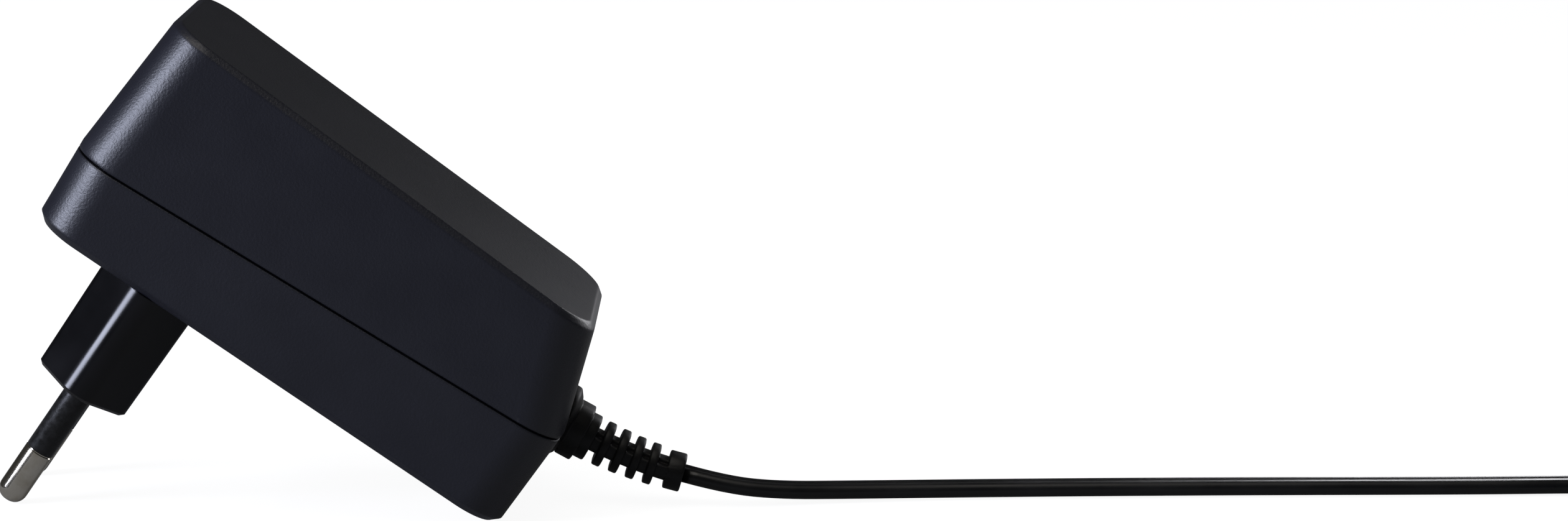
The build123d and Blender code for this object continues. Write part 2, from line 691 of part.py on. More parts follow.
# Where each piece's legs pass through the board
LEGS = {
    "fuse": row(FUSE_PLACE, FUSE_PITCH, 2, across=True),
    "varistor": row(VARISTOR_PLACE, DISC_PITCH, 2, across=True),
    "line_capacitor": row(LINE_CAPACITOR_PLACE, LINE_CAPACITOR_PITCH, 2, across=True),
    "rectifier": row(RECTIFIER_PLACE, RECTIFIER_PITCH, 4),
    "bridging_capacitor": row(BRIDGING_CAPACITOR_PLACE, DISC_PITCH, 2, across=True),
    "controller": two_rows(CONTROLLER_PLACE, LEG_PITCH, 3, CONTROLLER_ROWS),
    "switch_transistor": row((SWITCH_PLACE_X, package_legs_y(1)), LEG_PITCH, 3),
    "output_diode": row((DIODE_PLACE_X, package_legs_y(-1)), LEG_PITCH, 3),
    "transformer": two_rows(TRANSFORMER_PLACE, RAIL_PITCH, RAIL_LEGS, 2 * rail_distance()),
    "optocoupler": two_rows(COUPLER_PLACE, LEG_PITCH, 2, COUPLER_ROWS),
}
for name, place in BULK_CAPACITOR_PLACES.items():
    LEGS[f"bulk_capacitor_{name}"] = row(place, CAN_PITCH, 2)
for name, place in OUTPUT_CAPACITOR_PLACES.items():
    LEGS[f"output_capacitor_{name}"] = row(place, CAN_PITCH, 2)


def output_wire_points(side):
    """Points of a wire from the strain relief's flange down through the board."""
    start = CORD_END - FLANGE_SETBACK - FLANGE_THICKNESS
    spread = side * OUTPUT_WIRE_SPREAD
    first = (SEAM * Pos(start, spread, 0)).position
    second = (SEAM * Pos(start - OUTPUT_WIRE_RUN, spread, 0)).position
    return [first, second, Vector(second.X, spread, BOARD_UNDERSIDE - LEG_REACH)]


def make_output_wire(side):
    """Insulated wire that bends down from the strain relief to the board."""
    points = output_wire_points(side)
    path = FilletPolyline(*points, radius=[OUTPUT_WIRE_BEND])
    start = Plane(origin=points[0], z_dir=points[1] - points[0])
    return sweep(start * RegularPolygon(OUTPUT_WIRE_RADIUS, WIRE_SIDES), path=path)


def make_board():
    """Circuit board with holes for the posts, the wires and the legs."""
    length = BOARD_END - BOARD_START
    middle = (BOARD_START + BOARD_END) / 2
    outline = Rectangle(length, 2 * BOARD_HALF_WIDTH)
    plan = Pos(middle, 0) * chamfer(outline.vertices(), BOARD_CORNER)
    spike_hole = SPIKE_SIZE + 2 * HOLE_CLEARANCE
    pin_hole = 2 * (PIN_WIRE_RADIUS + HOLE_CLEARANCE)
    output_hole = 2 * (OUTPUT_WIRE_RADIUS + HOLE_CLEARANCE)
    for x, y in post_places():
        plan -= Pos(x, y) * Rectangle(spike_hole, spike_hole)
    for side in SIDES.values():
        x, y = pin_wire_hole(side)
        plan -= Pos(x, y) * Rectangle(pin_hole, pin_hole)
        wire = output_wire_points(side)[-1]
        plan -= Pos(wire.X, wire.Y) * Rectangle(output_hole, output_hole)
    leg_hole = LEG_SIZE + 2 * HOLE_CLEARANCE
    for places in LEGS.values():
        for x, y in places:
            plan -= Pos(x, y) * Rectangle(leg_hole, leg_hole)
    return Pos(0, 0, BOARD_UNDERSIDE) * extrude(plan, amount=BOARD_THICKNESS)


def make_disc(place, name):
    """Disc-shaped component that stands across the board on two legs."""
    disc = Rot(0, 90, 0) * Cylinder(DISC_RADIUS, DISC_THICKNESS)
    height = BOARD_TOP + DISC_STAND + DISC_RADIUS
    return joined(Pos(place[0], place[1], height) * disc, legs(LEGS[name], height))


def make_choke():
    """Ring core of the filter choke and its two windings."""
    x, y = CHOKE_PLACE
    middle = BOARD_TOP + CHOKE_WINDING + BODY_CLEARANCE + CHOKE_HEIGHT / 2
    core = Cylinder(CHOKE_RADIUS, CHOKE_HEIGHT) - Cylinder(CHOKE_BORE, CHOKE_HEIGHT)
    grow = CHOKE_WINDING + BODY_CLEARANCE
    wound = Cylinder(CHOKE_RADIUS + grow, CHOKE_HEIGHT + 2 * grow)
    wound -= Cylinder(CHOKE_BORE - grow, CHOKE_HEIGHT + 2 * grow)
    space = Cylinder(CHOKE_RADIUS + BODY_CLEARANCE, CHOKE_HEIGHT + 2 * BODY_CLEARANCE)
    space -= Cylinder(CHOKE_BORE - BODY_CLEARANCE, CHOKE_HEIGHT + 2 * BODY_CLEARANCE)
    reach = 2 * CHOKE_RADIUS
    edge = radians(CHOKE_GAP_ANGLE / 2)
    place = Pos(x, y, middle)
    pieces = {"choke_core": place * core}
    for name, side in SIDES.items():
        corner = (reach * cos(edge), side * reach * sin(edge))
        other = (-corner[0], corner[1])
        far = side * reach
        wedge = make_face(Polyline((0, 0), corner, (corner[0], far), (other[0], far), other, close=True))
        sector = extrude(wedge, amount=reach, both=True)
        pieces[f"choke_winding_{name}"] = place * ((wound - space) & sector)
    return pieces


def make_package(x, side, name):
    """Transistor or diode with its metal tab against a heat sink and three legs."""
    tab_y = side * (SINK_FACE - TAB_THICKNESS / 2)
    body_y = package_legs_y(side)
    body = on_board((x, body_y), (PACKAGE_WIDTH, PACKAGE_THICKNESS, PACKAGE_HEIGHT), PACKAGE_STAND)
    body += on_board((x, tab_y), (PACKAGE_WIDTH, TAB_THICKNESS, TAB_HEIGHT), PACKAGE_STAND)
    hole = Rot(90, 0, 0) * Cylinder(SCREW_RADIUS + SCREW_CLEARANCE, TAB_THICKNESS)
    body -= Pos(x, tab_y, screw_height()) * hole
    return joined(body, legs(LEGS[name], BOARD_TOP + PACKAGE_STAND))


def screw_height():
    """Height of the screws that hold the packages to their heat sinks."""
    return BOARD_TOP + PACKAGE_STAND + TAB_HEIGHT - SCREW_FROM_TOP


def make_sink(x, side, length):
    """Heat sink plate that stands on the board behind a package."""
    y = side * (SINK_FACE + SINK_THICKNESS / 2)
    plate = on_board((x, y), (length, SINK_THICKNESS, SINK_HEIGHT))
    return plate - Pos(x, y, screw_height()) * Rot(90, 0, 0) * Cylinder(SCREW_RADIUS, SINK_THICKNESS)


def make_screws():
    """Two screws through the tabs into the heat sinks."""
    shank_length = TAB_THICKNESS + SINK_THICKNESS
    screws = []
    for x, side in ((SWITCH_PLACE_X, 1), (DIODE_PLACE_X, -1)):
        screw = Pos(0, 0, shank_length / 2) * Cylinder(SCREW_RADIUS, shank_length)
        head = RegularPolygon(SCREW_HEAD_RADIUS, 6)
        screw += Pos(0, 0, -SCREW_HEAD) * extrude(head, amount=SCREW_HEAD)
        face = side * (SINK_FACE - TAB_THICKNESS)
        screws.append(Pos(x, face, screw_height()) * Rot(-side * 90, 0, 0) * screw)
    return Compound(children=screws)


def transformer_centre():
    """Middle of the transformer's core."""
    x, y = TRANSFORMER_PLACE
    return Pos(x, y, BOARD_TOP + RAIL_HEIGHT + BOBBIN_HEIGHT / 2)


def make_core_half(side):
    """E-shaped half of the transformer's core."""
    window = (CORE_LENGTH - CORE_MIDDLE_LEG) / 2 - CORE_SIDE_LEG
    depth = CORE_DEPTH / 2
    half = Pos(0, side * depth / 2, 0) * Box(CORE_LENGTH, depth, CORE_THICKNESS)
    reach = depth - CORE_BACK
    for edge in (-1, 1):
        x = edge * (CORE_MIDDLE_LEG + window) / 2
        half -= Pos(x, side * reach / 2, 0) * Box(window, reach, CORE_THICKNESS)
    return transformer_centre() * half


def bobbin_tube():
    """Outer width and height of the bobbin's tube round the core's middle leg."""
    grow = 2 * (BODY_CLEARANCE + BOBBIN_WALL)
    return CORE_MIDDLE_LEG + grow, CORE_THICKNESS + grow


def bobbin_width():
    """Width of the bobbin's rims between the side legs of the core."""
    return CORE_LENGTH - 2 * (CORE_SIDE_LEG + BODY_CLEARANCE)


def make_bobbin():
    """Bobbin: tube, two rims and two rails that stand on the board with their legs."""
    inner = CORE_DEPTH / 2 - CORE_BACK - BODY_CLEARANCE
    width, height = bobbin_tube()
    bobbin = Box(width, 2 * inner, height)
    for side in (-1, 1):
        rim_y = side * (inner - BOBBIN_FLANGE / 2)
        bobbin += Pos(0, rim_y, 0) * Box(bobbin_width(), BOBBIN_FLANGE, BOBBIN_HEIGHT)
        rail_y = side * (inner - BOBBIN_FLANGE + RAIL_DEPTH / 2)
        rail_z = -(BOBBIN_HEIGHT + RAIL_HEIGHT) / 2
        bobbin += Pos(0, rail_y, rail_z) * Box(RAIL_LENGTH, RAIL_DEPTH, RAIL_HEIGHT)
    grow = 2 * BODY_CLEARANCE
    bobbin -= Box(CORE_MIDDLE_LEG + grow, 2 * inner, CORE_THICKNESS + grow)
    return joined(transformer_centre() * bobbin, legs(LEGS["transformer"], BOARD_TOP + RAIL_HEIGHT / 2))


def make_winding():
    """Copper and tape wound on the bobbin between its rims."""
    length = 2 * (CORE_DEPTH / 2 - CORE_BACK - BODY_CLEARANCE - BOBBIN_FLANGE)
    width, height = bobbin_tube()
    outer_width = bobbin_width() - 2 * WINDING_SETBACK
    outer_height = BOBBIN_HEIGHT - 2 * WINDING_SETBACK
    turns = Box(outer_width, length, outer_height) - Box(width, length, height)
    return transformer_centre() * turns


def make_inner_pieces():
    """Everything on the circuit board."""
    pieces = {
        "circuit_board": make_board(),
        "fuse": joined(on_board(FUSE_PLACE, FUSE_SIZE), legs(LEGS["fuse"])),
        "varistor": make_disc(VARISTOR_PLACE, "varistor"),
        "line_capacitor": joined(
            on_board(LINE_CAPACITOR_PLACE, LINE_CAPACITOR_SIZE), legs(LEGS["line_capacitor"])
        ),
        "bridge_rectifier": joined(on_board(RECTIFIER_PLACE, RECTIFIER_SIZE), legs(LEGS["rectifier"])),
        "bridging_capacitor": make_disc(BRIDGING_CAPACITOR_PLACE, "bridging_capacitor"),
        "controller_chip": joined(
            on_board(CONTROLLER_PLACE, CONTROLLER_SIZE, CONTROLLER_STAND),
            shoulder_legs("controller", CONTROLLER_PLACE, CONTROLLER_SIZE, CONTROLLER_STAND),
        ),
        "optocoupler": joined(
            on_board(COUPLER_PLACE, COUPLER_SIZE, CONTROLLER_STAND),
            shoulder_legs("optocoupler", COUPLER_PLACE, COUPLER_SIZE, CONTROLLER_STAND),
        ),
        "switch_transistor": make_package(SWITCH_PLACE_X, 1, "switch_transistor"),
        "switch_heat_sink": make_sink(SWITCH_PLACE_X, 1, SWITCH_SINK_LENGTH),
        "output_diode": make_package(DIODE_PLACE_X, -1, "output_diode"),
        "diode_heat_sink": make_sink(DIODE_PLACE_X, -1, DIODE_SINK_LENGTH),
        "sink_screws": make_screws(),
        "transformer_core_near": make_core_half(-1),
        "transformer_core_far": make_core_half(1),
        "transformer_bobbin": make_bobbin(),
        "transformer_winding": make_winding(),
    }
    pieces.update(make_choke())
    for name, place in BULK_CAPACITOR_PLACES.items():
        key = f"bulk_capacitor_{name}"
        can = can_on_board(place, BULK_CAPACITOR_RADIUS, BULK_CAPACITOR_HEIGHT)
        pieces[key] = joined(can, legs(LEGS[key]))
    for name, place in OUTPUT_CAPACITOR_PLACES.items():
        key = f"output_capacitor_{name}"
        can = can_on_board(place, OUTPUT_CAPACITOR_RADIUS, OUTPUT_CAPACITOR_HEIGHT)
        pieces[key] = joined(can, legs(LEGS[key]))
    return pieces


def shoulder_legs(name, place, size, stand):
    """Legs of a flat package, with shoulders that reach into its long sides."""
    height = BOARD_TOP + stand + size[2] / 2
    pieces = legs(LEGS[name], height)
    for x, y in LEGS[name]:
        side = 1 if y > place[1] else -1
        edge = place[1] + side * size[1] / 2
        reach = abs(y - edge) + LEG_SIZE / 2
        middle = edge + side * reach / 2
        pieces.append(Pos(x, middle, height - LEG_SIZE / 2) * Box(LEG_SIZE, reach, LEG_SIZE))
    return pieces


def wall_foot():
    """Place along x where the cord end's wall would meet the underside."""
    slope = radians(SEAM_SLOPE)
    draft = tan(radians(LOWER_CORD_DRAFT))
    drop = SEAM_HEIGHT + CORD_END * sin(slope)
    depth = drop / (cos(slope) + draft * sin(slope))
    return (CORD_END - depth * draft) * cos(slope) + depth * sin(slope)


def rest_pose():
    """Tilt and lift with which the adapter lies on its pin tips and on the cord end's bottom edge."""
    edge = wall_foot() - BOTTOM_EDGE
    reach = BLOCK_HEIGHT + PIN_LENGTH
    tilt = max(atan2(reach - height, edge - radius) for radius, height in pin_tip())
    return degrees(tilt), edge * sin(tilt)


def corner_radii(points):
    """Radius of the arc at each inner point of a route, as large as its two runs allow."""
    radii = []
    for before, here, after in zip(points, points[1:], points[2:]):
        shorter = min((here - before).length, (after - here).length)
        turn = radians((here - before).get_angle(after - here))
        radii.append(ARC_SHARE * shorter / tan(turn / 2))
    return radii


def cord_plane(origin, ahead):
    """Plane square to the cord, with its x level and its y up."""
    across = Vector(0, 0, 1).cross(ahead)
    return Plane(origin=origin, x_dir=-across, z_dir=ahead)


def cord_section(turn=0):
    """Section of the flat cord, with bevelled corners, turned about its own length."""
    section = Rectangle(CORD_WIDTH, CORD_THICKNESS)
    return Rot(0, 0, turn) * chamfer(section.vertices(), CORD_BEVEL)


def make_cord(points, turn=0):
    """Cord along straight runs joined by tangent arcs, flat or turned about its own length."""
    path = FilletPolyline(*points, radius=corner_radii(points))
    section = cord_plane(points[0], points[1] - points[0]) * cord_section(turn)
    return sweep(section, path=path), path.length


def level(angle, length=1.0):
    """Level vector of a length at an angle from +x."""
    return Vector(length * cos(radians(angle)), length * sin(radians(angle)), 0)


def make_coil(centre, mean, start, start_angle, tail_start):
    """Outer shape of the coil with the cord that runs in and out of it, and its tie."""
    height = COIL_LAYERS * CORD_WIDTH + TIE_THICKNESS
    outer = mean + COIL_WIDTH / 2
    inner = mean - COIL_WIDTH / 2
    lift = Pos(centre.X, centre.Y, height / 2)
    ring = lift * (Cylinder(outer, height) - Cylinder(inner, height))
    lead_in = cord_plane(start, level(start_angle - 90)) * cord_section()
    ring += extrude(lead_in, amount=LEAD_IN)
    back = level(TAIL_ANGLE + 90)
    lead_out = cord_plane(tail_start, back) * cord_section(turn=90)
    ring += extrude(lead_out, amount=LEAD_OUT)
    opening_width = COIL_WIDTH + 2 * COIL_CLEARANCE
    opening_height = COIL_LAYERS * CORD_WIDTH
    place = Pos(centre.X, centre.Y, 0) * Rot(0, 0, TIE_ANGLE) * Pos(mean, 0, TIE_THICKNESS)
    band = Pos(0, 0, opening_height / 2) * Box(
        opening_width + 2 * TIE_THICKNESS, TIE_WIDTH, opening_height + 2 * TIE_THICKNESS
    )
    band -= Pos(0, 0, opening_height / 2) * Box(opening_width, TIE_WIDTH, opening_height)
    under = Box(opening_width + 2 * TIE_THICKNESS, TIE_WIDTH + 2 * COIL_CLEARANCE, TIE_THICKNESS)
    ring -= place * Pos(0, 0, -TIE_THICKNESS / 2) * under
    return ring, place * band


def make_plug(place):
    """Low-voltage plug: overmoulded grip, barrel, insulator and bored middle contact."""
    face = PLUG_RELIEF_LENGTH + PLUG_GRIP_LENGTH
    tip = face + BARREL_LENGTH
    root = face - INSULATOR_ROOT
    narrow = Plane.XY * octagon(PLUG_RELIEF_END)
    wide = Plane.XY.offset(PLUG_RELIEF_LENGTH) * octagon(PLUG_RELIEF_RADIUS)
    grip = loft([narrow.face(), wide.face()], ruled=True)
    body = Pos(0, 0, PLUG_RELIEF_LENGTH) * extrude(octagon(PLUG_GRIP_RADIUS), amount=PLUG_GRIP_LENGTH)
    ends = body.faces().sort_by(Axis.Z)
    grip += chamfer(ends[0].edges() + ends[-1].edges(), PLUG_EDGE)
    core_radius = BARREL_RADIUS - BARREL_WALL
    barrel = Cylinder(BARREL_RADIUS, BARREL_LENGTH) - Cylinder(core_radius, BARREL_LENGTH)
    insulator_end = tip - INSULATOR_SETBACK
    insulator = span(root, insulator_end) * Cylinder(core_radius, insulator_end - root)
    contact_end = tip - CONTACT_SETBACK
    contact_root = root + BARREL_WALL
    socket_depth = insulator_end - contact_root
    socket = span(contact_root, insulator_end) * Box(CONTACT_SIZE, CONTACT_SIZE, socket_depth)
    contact_length = contact_end - contact_root
    contact = span(contact_root, contact_end) * Box(CONTACT_SIZE, CONTACT_SIZE, contact_length)
    bore = span(contact_end - CONTACT_DEPTH, contact_end) * Cylinder(CONTACT_BORE, CONTACT_DEPTH)
    pieces = {
        "dc_plug_grip": grip - span(root, face) * Cylinder(core_radius, INSULATOR_ROOT),
        "dc_plug_barrel": span(face, tip) * barrel,
        "dc_plug_insulator": insulator - socket,
        "dc_plug_contact": contact - bore,
    }
    return {name: place * shape for name, shape in pieces.items()}


def span(low, high):
    """Middle between two distances along z."""
    return Pos(0, 0, (low + high) / 2)


def write(parts):
    """Writes each node as a STEP file."""
    os.makedirs("parts", exist_ok=True)
    for name, shape in parts.items():
        shape.label = name
        export_step(shape, f"parts/{name}.step")


# The adapter in its own axes
pins = {name: make_pin(side) for name, side in SIDES.items()}
sleeves = {name: make_sleeve(side) for name, side in SIDES.items()}
adapter = {
    "upper_shell": make_upper_shell(),
    "lower_shell": make_lower_shell(),
    "plug_block": make_block(list(pins.values()), list(sleeves.values())),
    "strain_relief": make_boot(),
}
for name, side in SIDES.items():
    adapter[f"plug_pin_{name}"] = pins[name]
    adapter[f"pin_sleeve_{name}"] = sleeves[name]
    adapter[f"pin_wire_{name}"] = make_pin_wire(side)
    adapter[f"output_wire_{name}"] = make_output_wire(side)
adapter.update(make_inner_pieces())

# At rest on the table, with the origin under the middle of its box
tilt, lift = rest_pose()
boxes = [(Rot(0, tilt, 0) * shape).bounding_box() for shape in adapter.values()]
middle = (min(box.min.X for box in boxes) + max(box.max.X for box in boxes)) / 2
rest = Pos(-middle, 0, lift) * Rot(0, tilt, 0)
parts = {name: rest * shape for name, shape in adapter.items()}

# The cord from the strain relief to the coil
way_out = rest * boot_point(BOOT_LENGTH)
outlet = way_out.position
route = [outlet] + [Vector(outlet.X + x, outlet.Y + y, z) for x, y, z in ROUTE]
parts["cable_run"], run_length = make_cord(route)
last_run = route[-1] - route[-2]
start_angle = degrees(atan2(last_run.Y, last_run.X)) + 90

# The coil's size follows from the length that is left
tail = [Vector(*point) for point in TAIL_ROUTE]
tail_length = sum((after - before).length for before, after in zip(tail, tail[1:]))
turned = radians(360 * COIL_TURNS + start_angle - TAIL_ANGLE)
mean_radius = (CORD_LENGTH - run_length - LEAD_IN - LEAD_OUT - tail_length) / turned
outermost = mean_radius + (COIL_WIDTH - CORD_THICKNESS) / 2
coil_centre = route[-1] + level(start_angle - 90, LEAD_IN) - level(start_angle, outermost)
leaving = level(TAIL_ANGLE - 90)
tail_height = (COIL_LAYERS - 0.5) * CORD_WIDTH
coil_end = coil_centre + level(TAIL_ANGLE, outermost) + leaving * LEAD_OUT
tail_start = Vector(coil_end.X, coil_end.Y, tail_height)
coil, tie = make_coil(coil_centre, mean_radius, route[-1], start_angle, tail_start)
parts["cable_coil"] = coil
parts["cable_tie"] = tie

# The tail and the plug beside the coil
sideways = level(TAIL_ANGLE)
tail_points = [
    tail_start + leaving * ahead + sideways * aside - Vector(0, 0, drop)
    for ahead, aside, drop in TAIL_ROUTE
]
parts["cable_tail"], _ = make_cord(tail_points, turn=90)
plug_place = cord_plane(tail_points[-1], tail_points[-1] - tail_points[-2]).location
parts.update(make_plug(plug_place))

write(parts)
section_area = cord_section().area
print("tilt", round(tilt, 3), "lift", round(lift, 3), "pins' plane at x", round(-middle, 3))
print("outlet", [round(value, 3) for value in outlet])
print("run length", round(run_length, 2), "tail length", round(tail_length, 2))
print("run volume over section times length", parts["cable_run"].volume / (section_area * run_length))
print("run radii", [round(radius, 1) for radius in corner_radii(route)])
print("tail radii", [round(radius, 1) for radius in corner_radii(tail_points)])
print("coil centre", [round(value, 2) for value in coil_centre], "mean radius", round(mean_radius, 2))
print("plug axis height", tail_points[-1].Z, "grip radius", PLUG_GRIP_RADIUS)
cord_names = ("cable_run", "cable_coil", "cable_tie", "dc_plug_grip")
lowest_points = [round(parts[name].bounding_box().min.Z, 3) for name in cord_names]
print("lowest points of the cord", lowest_points)
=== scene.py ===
import logging
from dataclasses import dataclass, field
from enum import Enum
from math import atan2, cos, degrees, pi, radians, sin

import bmesh
import bpy
from mathutils import Matrix, Vector
from mathutils.bvhtree import BVHTree


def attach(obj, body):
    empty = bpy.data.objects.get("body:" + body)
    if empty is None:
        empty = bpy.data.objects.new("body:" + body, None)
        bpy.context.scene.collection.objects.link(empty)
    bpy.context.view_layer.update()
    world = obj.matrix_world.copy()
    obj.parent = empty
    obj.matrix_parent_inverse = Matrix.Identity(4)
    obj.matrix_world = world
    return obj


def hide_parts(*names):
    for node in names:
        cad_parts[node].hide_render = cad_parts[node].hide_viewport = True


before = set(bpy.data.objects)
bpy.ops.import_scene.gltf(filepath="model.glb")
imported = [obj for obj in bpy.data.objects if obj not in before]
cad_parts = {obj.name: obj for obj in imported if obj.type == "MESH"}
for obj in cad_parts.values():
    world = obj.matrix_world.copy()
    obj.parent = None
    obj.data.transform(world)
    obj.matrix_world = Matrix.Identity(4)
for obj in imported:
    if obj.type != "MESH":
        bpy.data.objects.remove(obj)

log = logging.getLogger("power_adapter")

MM = 0.001
IMAGE_WIDTH = 2520
SENSOR_WIDTH_MM = 36.0
BODY = "root"
SAME_POINT_MM = 0.001  # vertices closer than this are one
FLAT_ANGLE = 0.6  # degrees, up to which triangles make one flat face
ROUND_SEGMENTS = 3
FLAT_WEIGHT = 100  # large faces decide the shading next to a round
EDGE_SAMPLES = 6  # rays that find the edges to round in the shading


def linear(hex_colour: str) -> tuple[float, float, float, float]:
    """Turns an sRGB hex colour into a linear colour with full alpha.

    Args:
        hex_colour: Six hex digits, red first.

    Returns:
        Linear red, green and blue, and 1.
    """
    channels = []
    for start in (0, 2, 4):
        value = int(hex_colour[start:start + 2], 16) / 255
        channels.append(value / 12.92 if value <= 0.04045 else ((value + 0.055) / 1.055) ** 2.4)
    return (channels[0], channels[1], channels[2], 1.0)


def add_node(
    tree: bpy.types.NodeTree,
    kind: str,
    values: dict | None = None,
    settings: dict | None = None,
    links: dict | None = None,
) -> bpy.types.Node:
    """Adds one node with its socket values, settings and incoming links.

    Args:
        tree: Node tree that takes the node.
        kind: Blender's name for the node.
        values: Socket name or number to its value.
        settings: Property name to its value.
        links: Socket name or number to the output that feeds it.

    Returns:
        The new node.
    """
    node = tree.nodes.new(kind)
    for name, value in (settings or {}).items():
        setattr(node, name, value)
    for name, value in (values or {}).items():
        node.inputs[name].default_value = value
    for name, source in (links or {}).items():
        tree.links.new(source, node.inputs[name])
    return node


def new_material(name: str) -> tuple[bpy.types.Material, bpy.types.NodeTree, bpy.types.Node]:
    """Makes a material that holds only its output node.

    Args:
        name: Name of the finish.

    Returns:
        The material, its tree and its output node.
    """
    material = bpy.data.materials.new(name)
    material.use_nodes = True
    tree = material.node_tree
    tree.nodes.clear()
    return material, tree, add_node(tree, "ShaderNodeOutputMaterial")


def add_noise(
    tree: bpy.types.NodeTree,
    place: bpy.types.NodeSocket,
    size_mm: float,
    detail: float,
    roughness: float = 0.5,
) -> bpy.types.NodeSocket:
    """Adds noise with features of a size in millimetres.

    Args:
        tree: Node tree that takes the noise.
        place: Output that holds the object coordinates.
        size_mm: Size of the noise's features.
        detail: Octaves of the noise.
        roughness: Share of each finer octave.

    Returns:
        The output between 0 and 1.
    """
    noise = add_node(
        tree, "ShaderNodeTexNoise",
        values={"Scale": 1 / (size_mm * MM), "Detail": detail, "Roughness": roughness},
        links={"Vector": place},
    )
    return noise.outputs["Fac"]


def add_shades(
    tree: bpy.types.NodeTree,
    factor: bpy.types.NodeSocket,
    fresh: tuple[float, str],
    worn: tuple[float, str],
) -> bpy.types.NodeSocket:
    """Adds a ramp between the fresh and the worn shade.

    Args:
        tree: Node tree that takes the ramp.
        factor: Noise that says where the surface is worn.
        fresh: Place on the ramp and sRGB hex colour of the fresh shade.
        worn: Place on the ramp and sRGB hex colour of the worn shade.

    Returns:
        The colour output.
    """
    ramp = add_node(tree, "ShaderNodeValToRGB", links={"Fac": factor})
    for element, (position, colour) in zip(ramp.color_ramp.elements, (fresh, worn)):
        element.position = position
        element.color = linear(colour)
    return ramp.outputs["Color"]


def add_roughness(
    tree: bpy.types.NodeTree, factor: bpy.types.NodeSocket, lowest: float, highest: float
) -> bpy.types.NodeSocket:
    """Adds a roughness that follows a noise.

    Args:
        tree: Node tree that takes the node.
        factor: Noise whose values lie mostly between 0.3 and 0.7.
        lowest: Roughness where the noise is low.
        highest: Roughness where the noise is high.

    Returns:
        The roughness output.
    """
    spread = add_node(
        tree, "ShaderNodeMapRange",
        values={"From Min": 0.3, "From Max": 0.7, "To Min": lowest, "To Max": highest},
        links={"Value": factor},
    )
    return spread.outputs["Result"]


def add_object(name: str, data: bpy.types.ID) -> bpy.types.Object:
    """Puts a mesh, a curve, a camera or a lamp into the scene.

    Args:
        name: Name of the object.
        data: What the object shows.

    Returns:
        The new object.
    """
    added = bpy.data.objects.new(name, data)
    bpy.context.scene.collection.objects.link(added)
    return added


def ring_faces(bands: int, count: int) -> list[tuple[int, int, int, int]]:
    """Lists the quads between closed rings of vertices.

    Args:
        bands: Number of bands, one less than the rings.
        count: Vertices in each ring.

    Returns:
        The quads, ring by ring.
    """
    faces = []
    for base in range(0, bands * count, count):
        for corner in range(count):
            after = (corner + 1) % count
            faces.append(
                (base + corner, base + after, base + count + after, base + count + corner)
            )
    return faces


def shade_round(mesh: bpy.types.Mesh, sharp_angle: float) -> None:
    """Shades a mesh smooth, apart from its sharp edges.

    Args:
        mesh: Mesh to shade.
        sharp_angle: Angle in degrees from which an edge stays sharp.
    """
    mesh.shade_smooth()
    mesh.set_sharp_from_angle(angle=radians(sharp_angle))


@dataclass(frozen=True)
class MouldedPlastic:
    """Moulded plastic whose surface copies the steel of its mould.

    The grain is the texture that the mould was given, and the mottle is the slow change of
    shade that handling leaves.
    """

    name: str
    colour: str
    worn_colour: str
    roughness: float
    grain_mm: float
    grain_depth_mm: float
    grain_strength: float = 0.5
    mottle_mm: float = 9.0
    roughness_spread: float = 0.08
    specular: float = 0.5
    edge_mm: float = 0.25
    ior: float = 1.5

    def build(self) -> bpy.types.Material:
        """Builds the material."""
        material, tree, output = new_material(self.name)
        place = add_node(tree, "ShaderNodeTexCoord").outputs["Object"]
        mottle = add_noise(tree, place, self.mottle_mm, 3.0, 0.55)
        grain = add_noise(tree, place, self.grain_mm, 2.0, 0.6)
        shade = add_shades(tree, mottle, (0.35, self.colour), (0.7, self.worn_colour))
        rough = add_roughness(
            tree, mottle,
            self.roughness - self.roughness_spread, self.roughness + self.roughness_spread,
        )
        edges = add_node(
            tree, "ShaderNodeBevel", values={"Radius": self.edge_mm * MM},
            settings={"samples": EDGE_SAMPLES},
        )
        bump = add_node(
            tree, "ShaderNodeBump",
            values={"Strength": self.grain_strength, "Distance": self.grain_depth_mm * MM},
            links={"Height": grain, "Normal": edges.outputs["Normal"]},
        )
        surface = add_node(
            tree, "ShaderNodeBsdfPrincipled",
            values={"IOR": self.ior, "Specular IOR Level": self.specular},
            links={"Base Color": shade, "Roughness": rough, "Normal": bump.outputs["Normal"]},
        )
        tree.links.new(surface.outputs["BSDF"], output.inputs["Surface"])
        return material


@dataclass(frozen=True)
class Metal:
    """Metal with fine marks left by turning, brushing or plating."""

    name: str
    colour: str
    dull_colour: str
    roughness: float
    mark_mm: float
    mark_depth_mm: float = 0.004
    mark_strength: float = 0.3
    cloud_share: float = 12  # size of the dull clouds, in marks

    def build(self) -> bpy.types.Material:
        """Builds the material."""
        material, tree, output = new_material(self.name)
        place = add_node(tree, "ShaderNodeTexCoord").outputs["Object"]
        cloud = add_noise(tree, place, self.mark_mm * self.cloud_share, 3.0)
        marks = add_noise(tree, place, self.mark_mm, 2.0)
        shade = add_shades(tree, cloud, (0.4, self.colour), (0.75, self.dull_colour))
        rough = add_roughness(tree, cloud, self.roughness * 0.8, self.roughness * 1.25)
        bump = add_node(
            tree, "ShaderNodeBump",
            values={"Strength": self.mark_strength, "Distance": self.mark_depth_mm * MM},
            links={"Height": marks},
        )
        surface = add_node(
            tree, "ShaderNodeBsdfPrincipled",
            values={"Metallic": 1.0},
            links={"Base Color": shade, "Roughness": rough, "Normal": bump.outputs["Normal"]},
        )
        tree.links.new(surface.outputs["BSDF"], output.inputs["Surface"])
        return material


